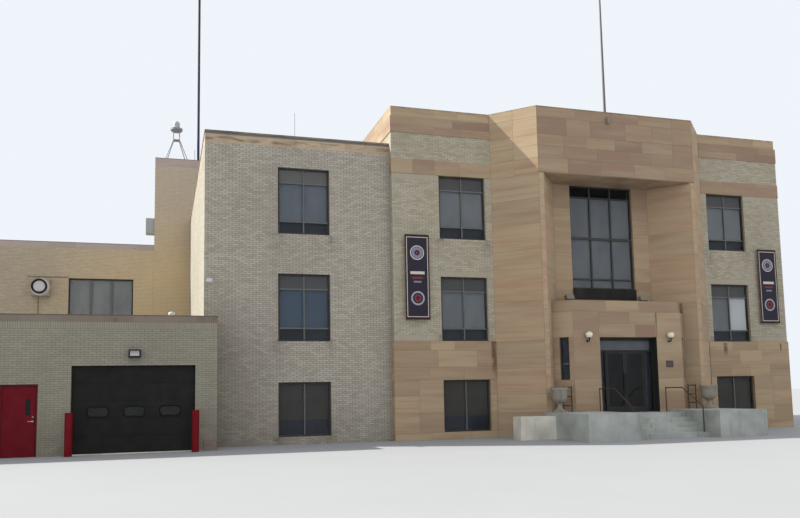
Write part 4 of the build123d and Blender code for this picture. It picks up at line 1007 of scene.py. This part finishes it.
wall = Finish("brick_walls", Roughness=0.92)
x, y, z = wall.position()
facing = wall.facing()
tone, joints = (coursed(wall, output, BRICK, COURSE, BED_JOINT / 2, 0.1) for output in ("Color", "Fac"))
laid = (facing[1] < -0.5) * (y < REAR + 0.1) + (facing[0] > 0.5) * (x > OLD_HALF - 0.12)
laid = laid + (facing[1] > 0.5) * (abs(y - REAR) < 0.1) * (x > added_box.left - 0.02)
left_of_old = x < -OLD_HALF - 0.01
masks = {"grey": left_of_old * (y < REAR + 0.01),
         "garage": left_of_old * (y < 0.2),
         "tan": y > REAR + 0.02}
colour, mortar = brick_face(wall, tone, "buff"), MORTAR["buff"]
for kind, mask in masks.items():
    colour = wall.mix(colour, brick_face(wall, tone, kind), mask)
    mortar = wall.mix(mortar, MORTAR[kind], mask)
gaps = joints.maths("MAXIMUM", joints, laid)
wall.feed("Base Color", wall.mix(colour, mortar, gaps))
wall.relief((1 - gaps) + wall.noise(120, 3) * 0.3, 0.004)
print("brick walls ready")

# %% Stone walls by shader
STONE_SIZE, COPING_SIZE = (1.35, 0.575), (1.0, 5.0)
DARK_LINING = (30, 29, 29)


def place_tone(finish):
    """A slow change of tone, for stone that is not laid block by block."""
    return finish.span(finish.noise(0.9, 2, (1, 1, 1.6)), 0.3, 0.7)


plain_sandstone = sandstone("sandstone_walls", lambda finish: coursed(finish, "Color", *STONE_SIZE))
plain_sandstone.recolour(STONE_GAP, coursed(plain_sandstone, "Fac", *STONE_SIZE) * 0.7)
backing = sandstone("sandstone_backing", place_tone)
# Street faces of the backing take the dark joint colour, which also makes the painted shadow line under
# the frieze.
backing.recolour(STONE_GAP, (backing.facing()[1] < -0.3) * 0.7)
plain_coping = coping_stone("coping_runs", lambda finish: coursed(finish, "Color", *COPING_SIZE))
plain_coping.recolour(STONE_GAP, coursed(plain_coping, "Fac", *COPING_SIZE) * 0.6)

portal_stone = sandstone("portal_stone", place_tone)
x, y, z = portal_stone.position()
doorway = (abs(x) < lintel_box.right + 0.02) * (z < lintel_box.foot + 0.01)
portal_stone.recolour(DARK_LINING, doorway * (abs(portal_stone.facing()[0]) > 0.7))
print("stone walls ready")

# %% [markdown]
# ## Concrete, cast stone and gravel
#
# The steps and floors are concrete, the urns cast stone, and the roofs loose gravel. The first
# two share a function: cloudy tone, dark pits and streaks that run down with the rain. The
# gravel is a Voronoi texture, whose cells are as uneven as pebbles, and a displaced mesh of
# them would cost more triangles than the whole building has.


# %% Concrete and cast stone
def cast(name, colour, spots=(96, 92, 86), rough=0.9, lines=0.5):
    """Weathered concrete: cloudy tone, dark pits and streaks that run down."""
    finish = Finish(name, Roughness=rough)
    clouds = finish.noise(1.2, 5)
    darker = tuple(int(value * 0.82) for value in colour)
    base = finish.mix(darker, colour, finish.span(clouds, 0.3, 0.65))
    pits = finish.span(finish.noise(45, 3), 0.62, 0.75)
    streaks = finish.span(finish.noise(3, 4, (2.5, 2.5, 0.25)), 0.55, 0.8)
    base = finish.mix(base, spots, pits * 0.5)
    finish.feed("Base Color", finish.mix(base, spots, streaks * lines))
    finish.relief(finish.noise(60, 4) - pits * 0.8, 0.003)
    return finish


casts = {
    "concrete": cast("worn_concrete", (172, 177, 173)),
    "pale_concrete": cast("pale_concrete", (222, 219, 206), (150, 146, 136)),
    "cast_stone": cast("weathered_cast_stone", (150, 145, 134), (74, 70, 60), lines=0.75),
}
print(len(casts), "cast finishes")

# %% Roof gravel
PEBBLES = ((112, 105, 94), (138, 131, 118), (152, 145, 132), (172, 166, 154))
PEBBLE_DUST = (118, 112, 102)
gravel = Finish("roof_gravel", Roughness=0.95)
cells = gravel.node("ShaderNodeTexVoronoi", None, {"Vector": gravel.place(), "Scale": 45.0}, "Color")
shares = gravel.axes(cells)
drift = gravel.span(gravel.noise(0.35, 3), 0.4, 0.75)
gravel.feed("Base Color", gravel.mix(gravel.ramp(shares[0], PEBBLES), PEBBLE_DUST, drift * 0.45))
gravel.relief(shares[1], 0.006)
print("gravel of", len(PEBBLES), "colours")

# %% [markdown]
# ## Glass
#
# A window seen from the street is mostly a dark sheet with a little of the sky in it, and a
# hint of what hangs behind. A fully clear glass would need many light bounces to show that,
# so the sheet is partly see-through, dark and smooth, and the shader's own reflection adds
# the sky. Faint dirt changes its roughness.


# %% Glass finishes
def glazing(name, colour, alpha, roughness, shine=0.5):
    """Glass as a partly see-through sheet with a faint film of dirt."""
    finish = Finish(name, IOR=1.5, Specular_IOR_Level=shine)
    film = finish.span(finish.noise(2.4, 4, (1, 1, 0.5)), 0.45, 0.8)
    finish.feed("Base Color", finish.mix(colour, tuple(value + 24 for value in colour), film * 0.5))
    finish.feed("Roughness", roughness + film * 0.06)
    finish.feed("Alpha", alpha + film * 0.06)
    return finish


glass = glazing("window_glass", (34, 42, 52), 0.16, 0.03)
dark_glass = glazing("dark_glass", (22, 24, 26), 0.80, 0.05, 0.35)
door_glass = glazing("door_glass", (18, 19, 20), 0.90, 0.05, 0.2)
nodes["window_glass"].visible_shadow = False

GLOBE_PALE, GLOBE_DULL = (230, 225, 206), (168, 156, 128)
opal = Finish("opal_glass", Roughness=0.25)
globe_box = Box("lamp_globes")
upper_half = opal.span(opal.position()[2], globe_box.foot + 0.13, globe_box.top)
opal.feed("Base Color", opal.mix(GLOBE_PALE, GLOBE_DULL, upper_half))
print("glass ready")

# %% [markdown]
# ## Giving out the finishes
#
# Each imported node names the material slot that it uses, so most of them get their finish
# from a table of slots. Some pieces that share a slot look different on the real building,
# and a second table gives those a finish of their own. Where one node holds several things,
# such as a door and its lever, the finish tells them apart by their place.

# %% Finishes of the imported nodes
bronze = Finish("plaque_bronze", Metallic=0.7)
patina = bronze.span(bronze.noise(30, 4), 0.4, 0.7)
bronze.feed("Base Color", bronze.mix((94, 84, 80), (66, 62, 60), patina))
bronze.feed("Roughness", 0.4 + patina * 0.25)
by_slot = {**metals, **casts, "roofing": gravel, "glass": glass, "opal_glass": opal,
           "plaque_bronze": bronze, "sandstone": plain_sandstone, "pale_stone": plain_coping,
           "buff_brick": wall, "grey_brick": wall, "tan_brick": wall}
by_node = {"front_stone_base": backing, "canted_piers": backing, "frieze_block": backing,
           "recess_wall": backing, "portal_sides": portal_stone,
           "garage_lights": dark_glass, "service_lite": door_glass,
           "leaf_glass_left": door_glass, "leaf_glass_right": door_glass,
           "mast": mast_metal, "flagpole": pole_paint, "metal_cap": lead, "stair_rails": rail_paint}
print(len(by_slot), "slots and", len(by_node), "single nodes so far")

# %% Finishes of the doors
DOOR_RED, LEVER_STEEL, GASKET = (96, 6, 20), (176, 174, 168), (5, 5, 5)
SERVICE_FACE, LEVER_SIDE = -1.04, -20.0
ringed = coated("garage_door_paint", (20, 19, 19), 0.55, share=0.05, shine=0.2)
ringed.recolour(GASKET, ringed.position()[1] < door_box.front + 0.014)
by_node["garage_doors"] = ringed

lever_paint = coated("service_door_paint", DOOR_RED, 0.6, share=0.0, shine=0.15)
x, y, z = lever_paint.position()
lever_paint.recolour(LEVER_STEEL, (y < SERVICE_FACE - 0.002) * (x > LEVER_SIDE))
by_node["service_door"] = lever_paint

FRAME_BROWN = (36, 35, 35)
framing = coated("door_frame_paint", FRAME_BROWN, 0.45, share=0.12, shine=0.25)
by_node["entrance_leaf_left"] = by_node["entrance_leaf_right"] = framing
jambs = coated("door_jamb_paint", FRAME_BROWN, 0.45, share=0.12, shine=0.25)
jambs.recolour(DOOR_RED, jambs.position()[0] < garage_box.right)
by_node["door_frames"] = jambs
print("door finishes ready")

# %% Finishes of the lamps, boxes and siren
ROOF_LAMP, ROOF_BOX = (128, 122, 114), (128, 128, 124)
lamps = coated("lamp_metal", (34, 30, 32), 0.5, share=0.12, shine=0.2)
lamps.recolour(ROOF_LAMP, lamps.position()[2] > CAP_TOP - 0.04)
by_node["light_fittings"] = lamps

boxes = coated("box_paint", (26, 24, 23), 0.5, share=0.12, shine=0.2)
boxes.recolour(ROOF_BOX, boxes.position()[2] > TOP + 0.08)
by_node["metal_boxes"] = boxes

HORN, HORN_FLANGE, HORN_ASIDE = (-21.75, 13.95, 6.99), 0.42, 1.75
HORN_CORNERS, TOWER_FIXTURE_SHADE = (150, 143, 126), (150, 153, 154)
fixtures = coated("fixture_paint", (188, 188, 192), 0.5, share=0.3)
x, y, z = fixtures.position()
aside, above = x - HORN[0], z - HORN[2]
corners = (aside * aside + above * above > HORN_FLANGE ** 2) * (x < HORN[0] + HORN_ASIDE)
fixtures.recolour(HORN_CORNERS, corners)
# Painted shade: the fixture box high on the tower is greyed, its seen side turned away from the sun.
fixtures.recolour(TOWER_FIXTURE_SHADE, (z > 9) * (x < -16))
by_node["wall_fixtures"] = fixtures

SIREN_DOME, DOME_GREY = 0.42, (166, 170, 168)
siren_paint = coated("siren_paint", (132, 134, 138), 0.45, 0.3, share=0.2)
dome_foot = Box("roof_siren").top - SIREN_DOME
siren_paint.recolour(DOME_GREY, siren_paint.position()[2] > dome_foot)
by_node["roof_siren"] = siren_paint
print(len(by_node), "single nodes in all")

# %% Finishes given to the nodes
for row in frame["record"]["subparts"]:
    finish = by_node.get(row["node"]) or by_slot.get(row["material_slot"])
    if finish:
        data = nodes[row["node"]].data
        data.materials.clear()
        data.materials.append(finish.material)
print("finishes given to the packed nodes")

# %% [markdown]
# ## Banners
#
# Two cloth banners hang between bars on the brick wings. Their design is a plain one: a
# dark field, a thin pale border, two rings and some bars. The cloth is a single sheet with
# slow waves, because it is pinned along its top and bottom only. The design is drawn by
# shader maths from each point's place on the cloth, which the mesh carries as two values.

# %% Banner cloth
CLOTH_W, CLOTH_H = 0.90, 2.96
cloth_finish = Finish("banner_cloth", Roughness=0.7)
side, down = cloth_finish.attribute("across"), cloth_finish.attribute("down")


def spoke(centre):
    """How far a point lies from the middle of the cloth at one height."""
    rise = down - centre
    square = side * side + rise * rise
    return square.maths("SQRT", square)


def ring(radius, half, centre):
    """1 on a ring of the design and 0 off it."""
    return abs(spoke(centre) - radius) < half


def stripe(centre, half, reach):
    """1 on a level stripe of the design and 0 off it."""
    return (abs(down - centre) < half) * (abs(side) < reach)


field = cloth_finish.mix((20, 15, 32), (28, 21, 40), cloth_finish.noise(2, 3))
edge_gap = side.maths("MINIMUM", CLOTH_W / 2 - abs(side), CLOTH_H / 2 - abs(down - CLOTH_H / 2))
border = abs(edge_gap - 0.065) < 0.012
hem = edge_gap < 0.035
UPPER_RING, LOWER_RING = 0.62, 2.24
HEM_RED, RED_INK, PALE_INK = (62, 14, 20), (132, 34, 44), (196, 186, 180)
LILAC, SILVER = (120, 124, 150), (150, 150, 168)
for mask, ink in ((hem, HEM_RED), (border, PALE_INK),
                  (ring(0.24, 0.018, UPPER_RING), PALE_INK), (ring(0.15, 0.05, UPPER_RING), LILAC),
                  (spoke(UPPER_RING) < 0.05, RED_INK), (stripe(1.34, 0.05, 0.26), PALE_INK),
                  (stripe(1.52, 0.03, 0.20), RED_INK), (stripe(1.66, 0.03, 0.14), LILAC),
                  (ring(0.22, 0.03, LOWER_RING), SILVER), (ring(0.10, 0.03, LOWER_RING), RED_INK)):
    field = cloth_finish.mix(field, ink, mask)
cloth_finish.feed("Base Color", field)
cloth_finish.relief(cloth_finish.noise(400, 1), 0.0004)
print("banner design ready")

# %% Banner sheets
banner_box = Box("banners")
COLUMNS, ROWS, CLOTH_SETBACK = 18, 60, 0.006
for hand, left in (("left", banner_box.left), ("right", banner_box.right - CLOTH_W)):
    points, sides, downs = [], [], []
    for row in range(ROWS + 1):
        for column in range(COLUMNS + 1):
            u, v = column / COLUMNS, row / ROWS
            wave = math.sin(math.pi * v) * (0.006 * math.sin(5.2 * u + 3 * v) + 0.004 * math.sin(9 * v))
            points.append((left + u * CLOTH_W, banner_box.front + CLOTH_SETBACK + wave,
                           banner_box.top - v * CLOTH_H))
            sides.append((u - 0.5) * CLOTH_W)
            downs.append(v * CLOTH_H)
    starts = [row * (COLUMNS + 1) + column for row in range(ROWS) for column in range(COLUMNS)]
    grid = [(start, start + COLUMNS + 1, start + COLUMNS + 2, start + 1) for start in starts]
    banner = show("banner_cloth_" + hand, points, grid, cloth_finish,
                  values={"across": sides, "down": downs})
    banner.data.shade_smooth()
    if hand == "left":
        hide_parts("banners")

# %% [markdown]
# ## Small fittings
#
# What is left is small: the dark ring round the horn and the conduits beside it, a vent on
# the garage roof, the lock of the service door, the lenses of the lamps over the garage
# doors, the strips below those doors, and the bars inside the entrance leaves. Round ones
# are turned from a profile, as on a lathe, about an axis that looks to the street or
# straight up. What sits on a door rides on that door's body, so that it swings with it.

# %% Turned fittings
TO_STREET, UPWARD = Vector((0, -1, 0)), Vector((0, 0, 1))


def turned(name, centre, profile, finish, axis=TO_STREET, turns=48, body="building"):
    """Turn a closed profile of (forward, radius) pairs about an axis."""
    first = Vector((1, 0, 0))
    second = axis.cross(first)
    angles = [2 * math.pi * turn / turns for turn in range(turns)]
    spokes = [math.cos(angle) * first + math.sin(angle) * second for angle in angles]
    points = [Vector(centre) + axis * forward + radius * spoke
              for forward, radius in profile for spoke in spokes]
    rings = len(profile)
    faces = [(r * turns + t, r * turns + (t + 1) % turns,
              (r + 1) % rings * turns + (t + 1) % turns, (r + 1) % rings * turns + t)
             for r in range(rings) for t in range(turns)]
    show(name, points, faces, finish, body).data.shade_smooth()


HORN_RING = ((-0.03, 0.345), (0.03, 0.36), (0.06, 0.33), (0.06, 0.29), (0.03, 0.26), (-0.03, 0.265))
turned("horn_ring", HORN, HORN_RING, metals["dark_metal"])

VENT = (-15.86, 0.05, GARAGE_ROOF)
VENT_OUTLINE = ((-0.01, 0.001), (-0.01, 0.06), (0.42, 0.06), (0.44, 0.10), (0.54, 0.10),
                (0.57, 0.07), (0.58, 0.001))
turned("roof_vent", VENT, VENT_OUTLINE, metals["white_metal"], UPWARD, 32)

LOCK = (-19.70, SERVICE_FACE, 1.145)
LOCK_OUTLINE = ((-0.004, 0.001), (-0.004, 0.032), (0.010, 0.032), (0.018, 0.025), (0.018, 0.001))
turned("service_door_lock", LOCK, LOCK_OUTLINE, metals["pole_metal"], turns=32,
       body="service_door")

# %% Conduits, thresholds and lamp lenses
conduit_paint = coated("conduit_paint", (112, 104, 84), 0.6, share=0.2, shine=0.3)
CONDUIT, CONDUIT_TOP, CONDUIT_LEVEL = 0.03, 6.62, 7.52
conduits = Blocks()
horn_along = HORN[0] - wing_box.left
drop, start = horn_along - 0.13, horn_along - 0.60
window_left = wing.openings[0][0]
conduits.add(wing, drop, drop + CONDUIT, GARAGE_ROOF, CONDUIT_TOP, 0, CONDUIT)
conduits.add(wing, start, window_left - 0.01, CONDUIT_LEVEL, CONDUIT_LEVEL + CONDUIT, 0, CONDUIT)
show_blocks("wing_conduits", conduits, conduit_paint)

thresholds, lenses = Blocks(), Blocks()
STRIP_TOP, STRIP_BACK, STRIP_FRONT = 0.02, -0.15, -0.01
LENS_HALF, LENS_LOW, LENS_HIGH, LENS_BACK, LENS_FRONT = 0.13, 2.90, 3.05, 0.20, 0.224
for left in door_lefts:
    thresholds.add(garage, left, left + DOOR_WIDTH, 0, STRIP_TOP, STRIP_BACK, STRIP_FRONT)
    middle = left + DOOR_WIDTH / 2
    lenses.add(garage, middle - LENS_HALF, middle + LENS_HALF, LENS_LOW, LENS_HIGH,
               LENS_BACK, LENS_FRONT)
show_blocks("garage_thresholds", thresholds, casts["pale_concrete"])
lens = Finish("lamp_lens", Roughness=0.3)
downward = lens.span(lens.position()[2], LENS_HIGH - 0.01, LENS_LOW + 0.02)
lens.feed("Base Color", lens.mix((128, 128, 130), (176, 176, 176), downward))
show_blocks("garage_lamp_lenses", lenses, lens)

# %% Push bars of the entrance leaves
PUSH_LOW, PUSH_HIGH, PUSH_BACK, PUSH_FRONT = 1.70, 1.76, -0.075, -0.035
ARM, ARM_INSET, ARM_THINNER, ARM_END, PANE_LAP = 0.04, 0.02, 0.015, 0.002, 0.01
for hand in ("left", "right"):
    pane = Box("leaf_glass_" + hand)
    inside = Face((pane.left - PANE_LAP, pane.rear), (pane.right + PANE_LAP, pane.rear),
                  pane.foot, pane.top)
    push = Blocks()
    push.add(inside, 0, inside.length, PUSH_LOW, PUSH_HIGH, PUSH_BACK, PUSH_FRONT)
    for u in (ARM_INSET, inside.length - ARM_INSET - ARM):
        push.add(inside, u, u + ARM, PUSH_LOW + ARM_THINNER, PUSH_HIGH - ARM_THINNER,
                 PUSH_FRONT, ARM_END)
    show_blocks("push_bar_" + hand, push, metals["pole_metal"], "entrance_leaf_" + hand)
